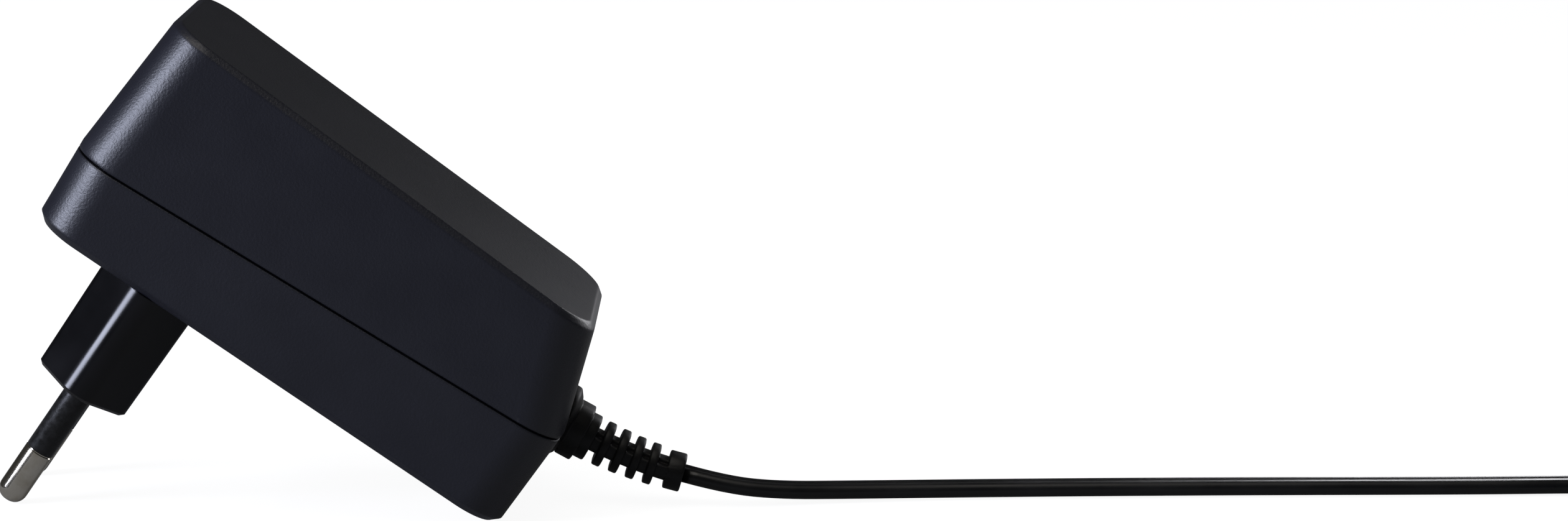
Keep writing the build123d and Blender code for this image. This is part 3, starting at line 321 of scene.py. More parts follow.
# ABS from a spark-eroded mould: a fine even grain that spreads every highlight
SPARK_ERODED_ABS = MouldedPlastic(
    "spark_eroded_abs", "16171f", "191a22", 0.38, grain_mm=0.35, grain_depth_mm=0.05,
    grain_strength=0.8, roughness_spread=0.015, edge_mm=0.6,
)
# ABS from a polished mould: deep black with sharp highlights
POLISHED_ABS = MouldedPlastic(
    "polished_abs", "050507", "07070a", 0.2, grain_mm=1.5, grain_depth_mm=0.004,
    grain_strength=0.2, roughness_spread=0.03, specular=0.35,
)
# Nylon sleeve: waxy, with tiny pale specks of filler
MOULDED_NYLON = MouldedPlastic(
    "moulded_nylon", "0e0e0e", "1e1e1e", 0.32, grain_mm=0.25, grain_depth_mm=0.02, mottle_mm=0.8,
    specular=0.35,
)
# Soft PVC of the strain relief: matte and a little dusty
SOFT_PVC = MouldedPlastic(
    "moulded_soft_pvc", "070708", "0c0c0d", 0.5, grain_mm=0.35, grain_depth_mm=0.03, specular=0.3,
    edge_mm=0.3,
)
# Extruded PVC of the cord: smooth along its length, satin
EXTRUDED_PVC = MouldedPlastic(
    "extruded_pvc", "0a0a0b", "101011", 0.36, grain_mm=0.5, grain_depth_mm=0.01, specular=0.4
)
# Epoxy moulding compound of chips and packages: matte black
MOULDED_EPOXY = MouldedPlastic(
    "moulded_epoxy", "17171a", "202024", 0.6, grain_mm=0.2, grain_depth_mm=0.01
)
# Dipped blue epoxy of the disc capacitors: glossy and a little uneven
DIPPED_EPOXY = MouldedPlastic(
    "dipped_epoxy", "1f4f9c", "2a5cae", 0.25, grain_mm=1.2, grain_depth_mm=0.05
)
# Yellow polyester case of the line capacitor
POLYESTER_CASE = MouldedPlastic(
    "polyester_case", "c9a22a", "d4ae3a", 0.4, grain_mm=0.6, grain_depth_mm=0.01
)
# Shrink sleeve of the electrolytic cans: dark and glossy
SHRINK_SLEEVE = MouldedPlastic(
    "shrink_sleeve", "14181f", "1b2029", 0.3, grain_mm=1.0, grain_depth_mm=0.01
)
# Paper laminate of the circuit board: tan, with a faint cloudy look
PAPER_LAMINATE = MouldedPlastic(
    "paper_laminate", "a8874f", "b8965c", 0.5, grain_mm=0.8, grain_depth_mm=0.01
)
# Sintered ferrite: dull dark grey with fine pores
SINTERED_FERRITE = MouldedPlastic(
    "sintered_ferrite", "2b2b2d", "3a3a3c", 0.7, grain_mm=0.4, grain_depth_mm=0.03
)
# Nickel-plated brass turned on a lathe: bright with a warm tone
NICKEL_PLATE = Metal("nickel_plated_brass", "dcd6c8", "b8ae98", 0.13, mark_mm=0.25)
# Enamelled copper wire: orange-brown and glossy
ENAMELLED_COPPER = Metal("enamelled_copper", "b0622c", "8f4a1f", 0.3, mark_mm=0.5)
# Punched aluminium sheet
ALUMINIUM_SHEET = Metal("punched_aluminium", "c9cbcd", "b5b7b9", 0.35, mark_mm=0.3)
# Zinc-plated steel screws
ZINC_PLATE = Metal("zinc_plated_steel", "b9bcbf", "a2a5a8", 0.3, mark_mm=0.2)
# Tinned copper wire
TINNED_COPPER = Metal("tinned_copper", "c4c5c6", "b2b3b4", 0.3, mark_mm=0.2)


class Lay(Enum):
    """How the flat cord lies."""

    FLAT = 0.0
    ON_EDGE = pi / 2


@dataclass
class StudioCamera:
    """The camera at the photograph's place, with its slight roll."""

    position_mm: tuple[float, float, float] = (56.34, -601.1, 140.13)
    elevation: float = 10.01
    azimuth: float = -0.25
    roll: float = 1.37
    focal_pixels: float = 7213.0
    nearest: float = 0.01  # in metres, before which nothing is drawn

    def build(self) -> bpy.types.Object:
        """Makes the camera the scene's own and returns it."""
        data = bpy.data.cameras.new("studio_camera")
        data.sensor_width = SENSOR_WIDTH_MM
        data.lens = self.focal_pixels * SENSOR_WIDTH_MM / IMAGE_WIDTH
        data.clip_start = self.nearest
        camera = add_object("studio_camera", data)
        turn, tip, roll = radians(self.azimuth), radians(self.elevation), radians(self.roll)
        right = Vector((cos(turn), sin(turn), 0))
        ahead = Vector((-sin(turn) * cos(tip), cos(turn) * cos(tip), -sin(tip)))
        above = right.cross(ahead)
        level = cos(roll) * right + sin(roll) * above
        upright = cos(roll) * above - sin(roll) * right
        matrix = Matrix((level, upright, -ahead)).transposed().to_4x4()
        matrix.translation = Vector(self.position_mm) * MM
        camera.matrix_world = matrix
        bpy.context.scene.camera = camera
        return camera


@dataclass
class CoilTie:
    """Soft strap round the coil's turns, with its free end laid over itself."""

    middle_mm: tuple[float, float]
    angle: float
    lift_mm: float = 0.8
    inner_width_mm: float = 12.8
    inner_height_mm: float = 8.5
    strap_width_mm: float = 3.0
    strap_thickness_mm: float = 0.75
    corner_mm: float = 1.9
    corner_steps: int = 8
    overlap: float = 0.22
    lap_share: float = 1.04  # rise of the free end, in thicknesses of the strap
    lap_start: float = 0.5  # share of the half width before the middle
    lap_end: float = 0.3  # share of the half width past the middle
    edge_mm: float = 0.2

    def build(self) -> bpy.types.Object:
        """Builds the strap in place of the solid model's tie.

        Returns:
            The strap's mesh object.
        """
        turn = radians(self.angle)
        outward = Vector((cos(turn), sin(turn), 0))
        along = Vector((-sin(turn), cos(turn), 0))
        middle = Vector((*self.middle_mm, self.lift_mm + self.inner_height_mm / 2))
        section = self._section()
        vertices = []
        loop = self._loop()
        for (across, up), (normal_across, normal_up) in loop:
            place = middle + outward * across + Vector((0, 0, up))
            normal = outward * normal_across + Vector((0, 0, normal_up))
            vertices.extend((place + along * wide + normal * thick) * MM for wide, thick in section)
        count, total = len(section), len(vertices)
        faces = [tuple(range(count)), tuple(reversed(range(total - count, total)))]
        faces += [(a, d, c, b) for a, b, c, d in ring_faces(len(loop) - 1, count)]
        mesh = bpy.data.meshes.new("coil_tie")
        mesh.from_pydata(vertices, [], faces)
        mesh.validate()
        shade_round(mesh, 40)
        tie = add_object("coil_tie", mesh)
        tie.data.materials.append(SOFT_PVC.build())
        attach(tie, BODY)
        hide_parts("cable_tie")
        return tie

    def _section(self) -> list[tuple[float, float]]:
        """Outline of the strap: place across it and over its inner face."""
        half, thick, edge = self.strap_width_mm / 2, self.strap_thickness_mm, self.edge_mm
        return [
            (-half + edge, 0), (half - edge, 0), (half, edge), (half, thick - edge),
            (half - edge, thick), (-half + edge, thick), (-half, thick - edge), (-half, edge),
        ]

    def _loop(self) -> list[tuple[tuple[float, float], tuple[float, float]]]:
        """Places on the strap's inner face, each with its outward direction."""
        half_width = self.inner_width_mm / 2 - self.corner_mm
        half_height = self.inner_height_mm / 2 - self.corner_mm
        corners = [(half_width, half_height), (half_width, -half_height)]
        corners += [(-half_width, -half_height), (-half_width, half_height)]
        top, upwards = self.inner_height_mm / 2, (0.0, 1.0)
        places = [((0.0, top), upwards)]
        for number, (across, up) in enumerate(corners + corners[:1]):
            lap = self.strap_thickness_mm * self.lap_share if number == len(corners) else 0.0
            if lap:
                places.append(((-half_width * self.lap_start, top), upwards))
                places.append(((half_width * self.lap_end, top + lap), upwards))
            for step in range(self.corner_steps + 1):
                angle = pi / 2 - pi / 2 * (number + step / self.corner_steps)
                normal = (cos(angle), sin(angle))
                reach = self.corner_mm + lap
                places.append(((across + normal[0] * reach, up + normal[1] * reach), normal))
        across, up = places[-1][0]
        places.append(((across, up - self.inner_height_mm * self.overlap), (1.0, 0.0)))
        return places


@dataclass
class FlatCord:
    """Flat twin cord from the strain relief to its coil and the low-voltage plug.

    The route's points are those of the solid model, from the strain relief's end.
    """

    outlet_mm: tuple[float, float, float] = (45.819, 0.0, 4.11)
    width_mm: float = 4.2
    thickness_mm: float = 2.1
    length_mm: float = 1500.0
    route_mm: list[tuple[float, float, float]] = field(default_factory=lambda: [
        (6.0, 0.0, 2.56),
        (13.4, 1.5, 1.65),
        (22.9, 4.3, 1.3),
        (36.4, 7.2, 1.12),
        (55.4, 10.0, 1.12),
        (80.4, 13.2, 1.12),
        (110.4, 16.6, 1.12),
        (125.4, 18.9, 1.12),
        (136.4, 20.1, 1.12),
    ])
    tail_mm: list[tuple[float, float, float]] = field(default_factory=lambda: [
        (0.0, 0.0, 0.0),
        (5.0, 0.0, 0.0),
        (11.0, 0.7, 0.9),
        (16.5, 1.9, 0.9),
    ])
    coil_centre_mm: tuple[float, float] = (199.22, -6.67)
    coil_mean_radius_mm: float = 23.21
    coil_width_mm: float = 12.6
    lead_out_mm: float = 12.0
    full_turns: int = 9
    tail_angle: float = 80.0
    tie_angle: float = 215.0
    tie_lift_mm: float = 0.8
    tie_reach_angle: float = 60.0  # around the tie, where the turns are lifted
    twist_angle: float = 70.0  # over which the cord turns onto its edge
    climb_angle: float = 60.0  # over which it climbs to the second layer
    points_a_turn: int = 24
    ridge_height_mm: float = 0.035
    ridge_count: int = 7
    spline_steps: int = 6
    spline_order: int = 3
    conductor_points: int = 28
    conductor_arc: float = 0.72 * pi  # half of the arc that shows of each conductor

    def build(self) -> bpy.types.Object:
        """Builds the cord as a tube of its own section along one smooth spline.

        Returns:
            The cord's mesh object.
        """
        points = self._points()
        line = self._line([point for point, _ in points])
        turns = [turn for _, turn in points]
        graph = bpy.context.evaluated_depsgraph_get()
        mesh = bpy.data.meshes.new_from_object(line.evaluated_get(graph))
        path = [vertex.co.copy() for vertex in mesh.vertices]
        bpy.data.objects.remove(line)
        bpy.data.meshes.remove(mesh)
        cord = self._sweep(path, turns)
        cord.data.materials.append(EXTRUDED_PVC.build())
        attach(cord, BODY)
        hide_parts("cable_run", "cable_coil", "cable_tail")
        turn = radians(self.tie_angle)
        tie_place = (
            self.coil_centre_mm[0] + self.coil_mean_radius_mm * cos(turn),
            self.coil_centre_mm[1] + self.coil_mean_radius_mm * sin(turn),
        )
        tie = CoilTie(tie_place, self.tie_angle, self.tie_lift_mm).build()
        return cord

    def _points(self) -> list[tuple[Vector, float]]:
        """Control points of the whole cord in millimetres, each with its turn from flat."""
        outlet = Vector(self.outlet_mm)
        points = [(outlet, Lay.FLAT.value)]
        for x, y, z in self.route_mm:
            points.append((Vector((outlet.x + x, outlet.y + y, z)), Lay.FLAT.value))
        last_run = points[-1][0] - points[-2][0]
        start_angle = degrees(atan2(last_run.y, last_run.x)) + 90
        half_width = (self.coil_width_mm - self.thickness_mm) / 2
        outermost = self.coil_mean_radius_mm + half_width
        innermost = self.coil_mean_radius_mm - half_width
        total = 360 * self.full_turns + start_angle - self.tail_angle
        steps = round(total / 360 * self.points_a_turn)
        step = total / steps
        outside = 1 / cos(radians(step / 2))
        layer = self.width_mm / 2
        lift_rate = 90 / self.tie_reach_angle
        for number in range(steps + 1):
            gone = number * step
            angle = start_angle - gone
            half = abs(1 - 2 * gone / total)
            radius = innermost + (outermost - innermost) * half
            twist = min(gone / self.twist_angle, 1.0)
            climb = min(max((gone - total / 2) / self.climb_angle + 0.5, 0.0), 1.0)
            climb = climb * climb * (3 - 2 * climb)
            low = self.route_mm[-1][2] + (layer - self.route_mm[-1][2]) * twist
            height = low + self.width_mm * climb
            away = (angle - self.tie_angle + 180) % 360 - 180
            if abs(away) < self.tie_reach_angle:
                height += self.tie_lift_mm * cos(radians(away * lift_rate)) ** 2
            place = Vector((
                self.coil_centre_mm[0] + radius * outside * cos(radians(angle)),
                self.coil_centre_mm[1] + radius * outside * sin(radians(angle)),
                height,
            ))
            points.append((place, Lay.ON_EDGE.value * twist))
        points.extend(self._tail_points(outermost))
        return points

    def _tail_points(self, outermost: float) -> list[tuple[Vector, float]]:
        """Control points from the coil to the plug.

        Args:
            outermost: Radius of the coil's outermost turn in millimetres.

        Returns:
            The points, each with its turn from flat.
        """
        angle = radians(self.tail_angle)
        outward = Vector((cos(angle), sin(angle), 0))
        leaving = Vector((sin(angle), -cos(angle), 0))
        start = Vector((*self.coil_centre_mm, 1.5 * self.width_mm)) + outward * outermost
        start += leaving * self.lead_out_mm
        return [
            (start + leaving * ahead + outward * aside - Vector((0, 0, drop)), Lay.ON_EDGE.value)
            for ahead, aside, drop in self.tail_mm
        ]

    def _line(self, points: list[Vector]) -> bpy.types.Object:
        """Smooth spline through the control points.

        Args:
            points: Control points in millimetres.

        Returns:
            The curve object, without a bevel.
        """
        curve = bpy.data.curves.new("cord_line", "CURVE")
        curve.dimensions = "3D"
        curve.resolution_u = self.spline_steps
        spline = curve.splines.new("NURBS")
        spline.points.add(len(points) - 1)
        for place, point in zip(spline.points, points):
            place.co = (*(point * MM), 1.0)
        spline.order_u = self.spline_order
        spline.use_endpoint_u = True
        line = add_object("cord_line", curve)
        bpy.context.view_layer.update()
        return line

    def _section(self) -> list[tuple[float, float]]:
        """Outline of two round conductors, one of them ridged, and the web between."""
        radius = self.thickness_mm / 2
        last = self.conductor_points - 1
        outline = []
        for side in (-1, 1):
            for number in range(self.conductor_points):
                angle = -self.conductor_arc + 2 * self.conductor_arc * number / last
                ridged = radius
                if side > 0:
                    ridged += self.ridge_height_mm * (cos(angle * self.ridge_count * 2) - 1) / 2
                across = side * (radius + ridged * cos(angle))
                outline.append((across, side * ridged * sin(angle)))
        return outline

    def _sweep(self, path: list[Vector], turns: list[float]) -> bpy.types.Object:
        """Mesh of the section along the path.

        Args:
            path: Points of the smooth line in metres.
            turns: Turn from flat at each control point.

        Returns:
            The mesh object.
        """
        section = self._section()
        vertices = []
        last = len(path) - 1
        for number, point in enumerate(path):
            ahead = (path[min(number + 1, last)] - path[max(number - 1, 0)]).normalized()
            across = Vector((0, 0, 1)).cross(ahead).normalized()
            above = ahead.cross(across)
            where = number / last * (len(turns) - 1)
            low = int(where)
            high = min(low + 1, len(turns) - 1)
            turn = turns[low] + (turns[high] - turns[low]) * (where - low)
            wide = across * cos(turn) + above * sin(turn)
            tall = above * cos(turn) - across * sin(turn)
            for x, y in section:
                vertices.append(point + (wide * x + tall * y) * MM)
        count = len(section)
        faces = ring_faces(last, count)
        faces.append(tuple(reversed(range(count))))
        faces.append(tuple(last * count + corner for corner in range(count)))
        mesh = bpy.data.meshes.new("flat_cord")
        mesh.from_pydata(vertices, [], faces)
        mesh.validate()
        for polygon in mesh.polygons:
            polygon.use_smooth = True
        return add_object("flat_cord", mesh)


@dataclass
class Dressing:
    """CAD nodes that keep their shape and get a finish."""

    finish: MouldedPlastic | Metal
    nodes: tuple[str, ...]
    round_mm: float = 0.0
    sharp_angle: float = 32.0

    def build(self) -> None:
        """Puts the finish on the nodes and rounds their edges."""
        material = self.finish.build()
        for name in self.nodes:
            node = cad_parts[name]
            node.data.materials.clear()
            node.data.materials.append(material)
            if self.round_mm:
                self._round(node)

    def _round(self, node: bpy.types.Object) -> None:
        """Rounds a piece's edges as its mould does.

        Args:
            node: The solid model's piece.
        """
        weld = node.modifiers.new("weld", "WELD")
        weld.merge_threshold = SAME_POINT_MM * MM
        flat = node.modifiers.new("flat_faces", "DECIMATE")
        flat.decimate_type = "DISSOLVE"
        flat.angle_limit = radians(FLAT_ANGLE)
        bevel = node.modifiers.new("round_edges", "BEVEL")
        bevel.width = self.round_mm * MM
        bevel.segments = ROUND_SEGMENTS
        bevel.limit_method = "ANGLE"
        bevel.angle_limit = radians(self.sharp_angle)
        bevel.use_clamp_overlap = True
        smooth = node.modifiers.new("even_shading", "WEIGHTED_NORMAL")
        smooth.weight = FLAT_WEIGHT


@dataclass
class RibbedRelief:
    """Strain relief with the small rounds that its mould leaves on the collars and ribs."""

    round_mm: float = 0.24
    sharp_angle: float = 35.0
    shortest_edge_mm: float = 0.05
    stray_mm: float = 0.16  # from the solid's surface, past which a corner is brought back
    crumb_mm: float = 0.004  # edges shorter than this are closed up

    def build(self) -> bpy.types.Object:
        """Builds the rounded piece in place of the solid model's.

        Returns:
            The piece's mesh object.
        """
        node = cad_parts["strain_relief"]
        shape = bmesh.new()
        shape.from_mesh(node.data)
        shape.transform(node.matrix_world)
        bmesh.ops.remove_doubles(shape, verts=shape.verts, dist=SAME_POINT_MM * MM)
        surface = BVHTree.FromBMesh(shape)
        bmesh.ops.dissolve_limit(
            shape, angle_limit=radians(FLAT_ANGLE), verts=shape.verts, edges=shape.edges,
            use_dissolve_boundaries=False,
        )
        outer = [
            edge for edge in shape.edges
            if edge.is_manifold
            and edge.calc_face_angle_signed() > radians(self.sharp_angle)
            and edge.calc_length() > self.shortest_edge_mm * MM
        ]
        bmesh.ops.bevel(
            shape, geom=outer, offset=self.round_mm * MM, offset_type="OFFSET",
            segments=ROUND_SEGMENTS, profile=0.5, affect="EDGES", clamp_overlap=False,
        )
        for vertex in shape.verts:
            place, _, _, distance = surface.find_nearest(vertex.co)
            if distance > self.stray_mm * MM:
                vertex.co = place
        bmesh.ops.remove_doubles(shape, verts=shape.verts, dist=self.crumb_mm * MM)
        bmesh.ops.dissolve_degenerate(shape, edges=shape.edges, dist=self.crumb_mm * MM)
        bmesh.ops.recalc_face_normals(shape, faces=shape.faces)
        mesh = bpy.data.meshes.new("ribbed_relief")
        shape.to_mesh(mesh)
        shape.free()
        shade_round(mesh, 30)
        relief = add_object("ribbed_relief", mesh)
        relief.data.materials.append(SOFT_PVC.build())
        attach(relief, BODY)
        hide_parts("strain_relief")
        return relief


@dataclass
class MainsPin:
    """Turned pin with a rounded bare tip and a sleeve over its root, on the solid model's axis."""

    side: str
    middle_mm: tuple[float, float, float]
    axis: tuple[float, float, float]
    radius_mm: float = 2.0
    sleeve_radius_mm: float = 1.97
    root_radius_mm: float = 1.5
    nose_mm: float = 1.75
    nose_steps: int = 10
    dimple_radius_mm: float = 0.42
    dimple_depth_mm: float = 0.22
    dimple_slope: float = 0.8  # share of the depth at half the radius
    rim_drop: float = 1 / 3  # of the dimple's rim, in corners
    ring_mm: float = 0.18
    corner_mm: float = 0.12
    corner_bulge: float = 0.3  # of the sleeve's rounded end, in corners
    steps: int = 64

    def build(self) -> None:
        """Builds the pin and its sleeve in place of the solid model's."""
        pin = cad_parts[f"plug_pin_{self.side}"]
        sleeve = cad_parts[f"pin_sleeve_{self.side}"]
        pin_start, pin_end = self._reach(pin)
        sleeve_start, sleeve_end = self._reach(sleeve)
        profile = self._pin_profile(pin_start, sleeve_end, pin_end)
        metal = self._turn(f"turned_pin_{self.side}", profile)
        metal.data.materials.append(NICKEL_PLATE.build())
        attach(metal, BODY)
        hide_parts(pin.name)
        profile = self._sleeve_profile(sleeve_start, sleeve_end)
        cover = self._turn(f"sleeve_{self.side}", profile)
        cover.data.materials.append(MOULDED_NYLON.build())
        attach(cover, BODY)
        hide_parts(sleeve.name)

    def _reach(self, node: bpy.types.Object) -> tuple[float, float]:
        """Where a solid piece starts and ends along the axis.

        Args:
            node: The solid model's piece.

        Returns:
            The first and the last place in millimetres from the bare tip's middle.
        """
        middle = Vector(self.middle_mm) * MM
        line = Vector(self.axis).normalized()
        corners = (node.matrix_world @ vertex.co for vertex in node.data.vertices)
        places = [(corner - middle).dot(line) / MM for corner in corners]
        return min(places), max(places)

    def _pin_profile(self, start: float, joint: float, end: float) -> list[tuple[float, float]]:
        """Radius and place of each ring of the pin.

        Args:
            start: Place of its root.
            joint: Place where the sleeve ends.
            end: Place of its tip.

        Returns:
            Pairs of radius and place, from the root to the middle of the dimple.
        """
        groove = self.radius_mm - self.corner_mm
        profile = [
            (0.0, start),
            (self.root_radius_mm, start),
            (self.root_radius_mm, joint - self.ring_mm),
            (groove, joint - self.ring_mm / 2),
            (groove, joint + self.ring_mm / 2),
            (self.radius_mm, joint + self.ring_mm),
        ]
        shoulder = end - self.nose_mm
        flat = self.dimple_radius_mm + self.corner_mm
        for number in range(self.nose_steps + 1):
            angle = pi / 2 * number / self.nose_steps
            radius = flat + (self.radius_mm - flat) * cos(angle)
            profile.append((radius, shoulder + self.nose_mm * sin(angle)))
        profile.append((self.dimple_radius_mm, end - self.corner_mm * self.rim_drop))
        profile.append((self.dimple_radius_mm / 2, end - self.dimple_depth_mm * self.dimple_slope))
        profile.append((0.0, end - self.dimple_depth_mm))
        return profile

    def _sleeve_profile(self, start: float, end: float) -> list[tuple[float, float]]:
        """Radius and place of each ring of the sleeve.

        Args:
            start: Place of its root.
            end: Place of its free end.

        Returns:
            Pairs of radius and place, round the wall and back along the bore.
        """
        bulge = self.corner_mm * self.corner_bulge
        return [
            (self.root_radius_mm, start),
            (self.sleeve_radius_mm, start),
            (self.sleeve_radius_mm, end - self.corner_mm),
            (self.sleeve_radius_mm - bulge, end - bulge),
            (self.sleeve_radius_mm - self.corner_mm, end),
            (self.root_radius_mm, end),
            (self.root_radius_mm, start),
        ]

    def _turn(self, name: str, profile: list[tuple[float, float]]) -> bpy.types.Object:
        """Mesh of a profile turned about the axis.

        Args:
            name: Name of the mesh.
            profile: Pairs of radius and place.

        Returns:
            The mesh object.
        """
        line = Vector(self.axis).normalized()
        across = line.orthogonal().normalized()
        above = line.cross(across)
        vertices = []
        for radius, place in profile:
            for step in range(self.steps):
                angle = 2 * pi * step / self.steps
                outward = across * cos(angle) + above * sin(angle)
                vertices.append((Vector(self.middle_mm) + line * place + outward * radius) * MM)
        mesh = bpy.data.meshes.new(name)
        mesh.from_pydata(vertices, [], ring_faces(len(profile) - 1, self.steps))
        welded = bmesh.new()
        welded.from_mesh(mesh)
        bmesh.ops.remove_doubles(welded, verts=welded.verts, dist=SAME_POINT_MM * MM)
        bmesh.ops.recalc_face_normals(welded, faces=welded.faces)
        welded.to_mesh(mesh)
        welded.free()
        shade_round(mesh, 35)
        return add_object(name, mesh)


@dataclass(frozen=True)
class Lamp:
    """Soft square lamp that looks at the adapter."""

    name: str
    colour: str
    place: tuple[float, float, float]
    size: float
    watts: float
    target: tuple[float, float, float] = (0.0, 0.0, 0.03)

    def build(self) -> None:
        """Puts the lamp into the scene."""
        data = bpy.data.lights.new(self.name, "AREA")
        data.color = linear(self.colour)[:3]
        data.size = self.size
        data.energy = self.watts
        lamp = add_object(self.name, data)
        lamp.location = self.place
        aim = Vector(self.target) - Vector(self.place)
        lamp.rotation_euler = aim.to_track_quat("-Z", "Y").to_euler()


@dataclass
class Studio:
    """Pale floor, soft lamps and a white surround."""

    floor_size: float = 6.0
    floor_drop: float = 0.0002
    ambient: float = 0.4
    camera_white: float = 0.92
    gloss_white: float = 0.04
    gloss_behind: float = 0.05  # what gloss sees behind the camera
    gloss_ahead: float = 0.04  # what gloss sees past the adapter
    gloss_fade: tuple[float, float] = (-0.7, 0.3)
    white: str = "ffffff"
    paper: str = "727272"
    daylight: str = "e8ecf2"

    def build(self) -> None:
        """Builds the floor, the world and the lamps."""
        self._floor()
        self._world()
        for lamp in LAMPS:
            lamp.build()

    def _floor(self) -> None:
        """Plane that shows white and keeps the object's shadow."""
        half = self.floor_size / 2
        mesh = bpy.data.meshes.new("studio_floor")
        corners = [(-half, -half), (half, -half), (half, half), (-half, half)]
        mesh.from_pydata([(x, y, -self.floor_drop) for x, y in corners], [], [(0, 1, 2, 3)])
        floor = add_object("studio_floor", mesh)
        material, tree, output = new_material("studio_paper")
        paper = add_node(tree, "ShaderNodeBsdfDiffuse", values={"Color": linear(self.paper)})
        glow = add_node(
            tree, "ShaderNodeEmission",
            values={"Color": linear(self.white)}, links={"Strength": self._seen(tree)},
        )
        both = add_node(
            tree, "ShaderNodeAddShader",
            links={0: paper.outputs["BSDF"], 1: glow.outputs["Emission"]},
        )
        tree.links.new(both.outputs["Shader"], output.inputs["Surface"])
        mesh.materials.append(material)

    def _rays(
        self, tree: bpy.types.NodeTree
    ) -> tuple[bpy.types.NodeSocket, bpy.types.NodeSocket]:
        """Tells the camera's own rays and those of gloss or a clear piece from the rest.

        Args:
            tree: Node tree that takes the nodes.

        Returns:
            The output that is 1 for the camera's rays, and the one that is 1 for the others.
        """
        rays = add_node(tree, "ShaderNodeLightPath")
        gloss = add_node(
            tree, "ShaderNodeMath", settings={"operation": "MAXIMUM"},
            links={0: rays.outputs["Is Glossy Ray"], 1: rays.outputs["Is Transmission Ray"]},
        )
        return rays.outputs["Is Camera Ray"], gloss.outputs["Value"]

    def _seen(self, tree: bpy.types.NodeTree) -> bpy.types.NodeSocket:
        """How white the floor is: full for the camera, dim where gloss or a clear piece shows it.

        Args:
            tree: Node tree that takes the nodes.

        Returns:
            The output that holds the strength.
        """
        camera, gloss = self._rays(tree)
        dim = add_node(
            tree, "ShaderNodeMath", settings={"operation": "MULTIPLY"},
            values={1: self.gloss_white}, links={0: gloss},
        )
        full = add_node(
            tree, "ShaderNodeMath", settings={"operation": "MULTIPLY"},
            values={1: self.camera_white}, links={0: camera},
        )
        both = add_node(
            tree, "ShaderNodeMath", settings={"operation": "MAXIMUM"},
            links={0: full.outputs["Value"], 1: dim.outputs["Value"]},
        )
        return both.outputs["Value"]

    def _world(self) -> None:
        """White surround for the camera, dim in gloss, and soft light for everything else."""
        world = bpy.data.worlds.new("studio_surround")
        bpy.context.scene.world = world
        world.use_nodes = True
        tree = world.node_tree
        tree.nodes.clear()
        output = add_node(tree, "ShaderNodeOutputWorld")
        place = add_node(tree, "ShaderNodeTexCoord").outputs["Generated"]
        split = add_node(tree, "ShaderNodeSeparateXYZ", links={"Vector": place})
        depth = add_node(
            tree, "ShaderNodeMapRange",
            values={
                "From Min": self.gloss_fade[0], "From Max": self.gloss_fade[1],
                "To Min": self.gloss_behind, "To Max": self.gloss_ahead,
            },
            settings={"interpolation_type": "SMOOTHSTEP"},
            links={"Value": split.outputs["Y"]},
        )
        dim = add_node(
            tree, "ShaderNodeBackground",
            values={"Color": linear(self.white)}, links={"Strength": depth.outputs["Result"]},
        )
        clear = add_node(
            tree, "ShaderNodeBackground", values={"Color": linear(self.white), "Strength": 1.0}
        )
        soft = add_node(
            tree, "ShaderNodeBackground",
            values={"Color": linear(self.daylight), "Strength": self.ambient},
        )
        camera, gloss = self._rays(tree)
        unseen = add_node(
            tree, "ShaderNodeMixShader",
            links={0: gloss, 1: soft.outputs["Background"], 2: dim.outputs["Background"]},
        )
        surround = add_node(
            tree, "ShaderNodeMixShader",
            links={0: camera, 1: unseen.outputs["Shader"], 2: clear.outputs["Background"]},
        )
        tree.links.new(surround.outputs["Shader"], output.inputs["Surface"])


# A cool box from the left lights the end wall and the corner, a warmer one the top, and a
# faint strip behind draws the edge along the top
LAMPS = (
    Lamp("left_softbox", "e2e8ff", (-0.62, -0.36, 0.28), 0.3, 6.5),
    Lamp("top_softbox", "fffaf2", (0.0, -0.2, 0.8), 0.6, 2.0),
    Lamp("sheen_strip", "fbfbff", (0.2, 0.22, 0.1), 0.1, 0.2),
)

# Middle of each bare tip and the way the pin points, as in the solid model's mounts
PINS = (
    MainsPin("near", (-42.695, -8.89, 4.538), (-0.551735, 0.028935, -0.833517)),
    MainsPin("far", (-42.695, 8.89, 4.538), (-0.551735, -0.028935, -0.833517)),
)

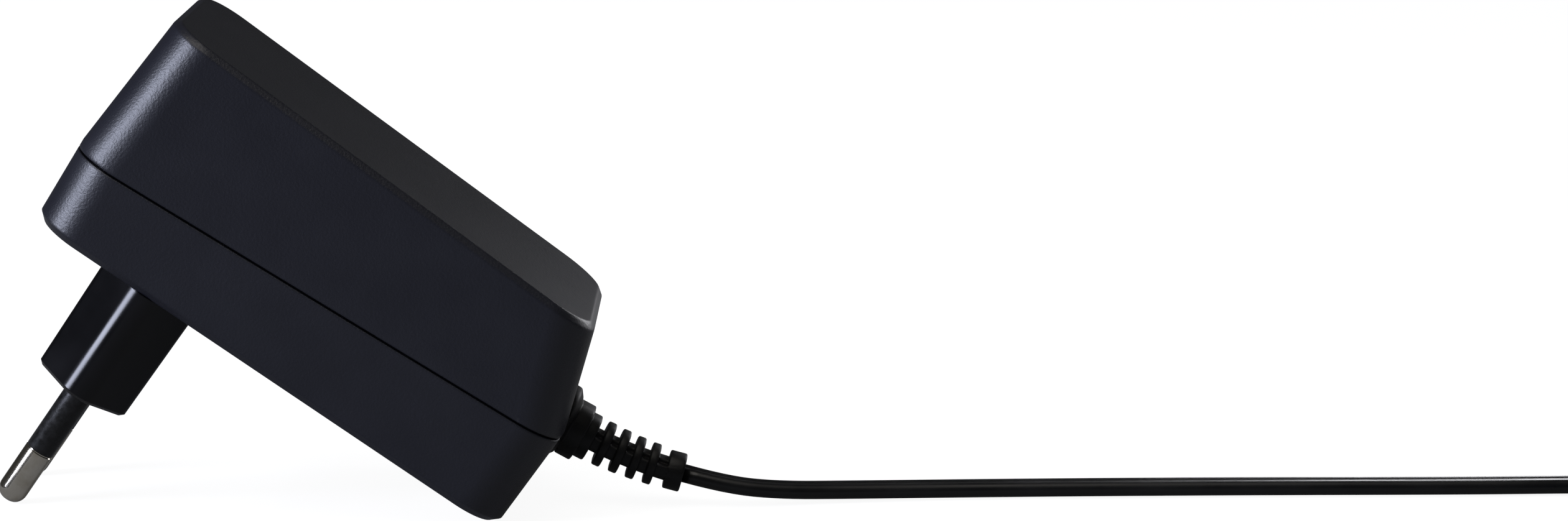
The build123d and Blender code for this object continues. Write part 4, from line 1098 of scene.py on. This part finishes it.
# Finishes of the pieces that keep the solid model's shape, the outside first
DRESSINGS = (
    Dressing(SPARK_ERODED_ABS, ("upper_shell", "lower_shell"), round_mm=0.25),
    Dressing(POLISHED_ABS, ("plug_block",)),
    Dressing(NICKEL_PLATE, ("dc_plug_barrel", "dc_plug_contact")),
    Dressing(MOULDED_NYLON, ("dc_plug_insulator",)),
    Dressing(SOFT_PVC, ("dc_plug_grip",), round_mm=0.4),
    Dressing(EXTRUDED_PVC, ("output_wire_near", "output_wire_far")),
    Dressing(TINNED_COPPER, ("pin_wire_near", "pin_wire_far")),
    Dressing(PAPER_LAMINATE, ("circuit_board",)),
    Dressing(POLYESTER_CASE, ("line_capacitor",)),
    Dressing(DIPPED_EPOXY, ("varistor", "bridging_capacitor")),
    Dressing(SINTERED_FERRITE, ("choke_core", "transformer_core_near", "transformer_core_far")),
    Dressing(ENAMELLED_COPPER, ("choke_winding_near", "choke_winding_far", "transformer_winding")),
    Dressing(ALUMINIUM_SHEET, ("switch_heat_sink", "diode_heat_sink")),
    Dressing(ZINC_PLATE, ("sink_screws",)),
    Dressing(
        SHRINK_SLEEVE,
        (
            "bulk_capacitor_near", "bulk_capacitor_far",
            "output_capacitor_near", "output_capacitor_far",
        ),
    ),
    Dressing(
        MOULDED_EPOXY,
        (
            "fuse", "bridge_rectifier", "controller_chip", "optocoupler", "switch_transistor",
            "output_diode", "transformer_bobbin",
        ),
    ),
)


def main() -> None:
    """Builds the camera, the cord, every finish and the studio, in that order."""
    logging.basicConfig(level=logging.INFO, format="%(message)s")
    bpy.context.scene.view_settings.view_transform = "Standard"
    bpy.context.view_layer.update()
    StudioCamera().build()
    log.info("camera placed")
    cord = FlatCord().build()
    log.info("cord of %d faces", len(cord.data.polygons))
    for pin in PINS:
        pin.build()
        log.info("%s pin turned", pin.side)
    relief = RibbedRelief().build()
    log.info("strain relief of %d faces", len(relief.data.polygons))
    for dressing in DRESSINGS:
        dressing.build()
        log.info("%s on %s", dressing.finish.name, ", ".join(dressing.nodes))
    Studio().build()
    log.info("studio lit")


if __name__ == "__main__":
    main()
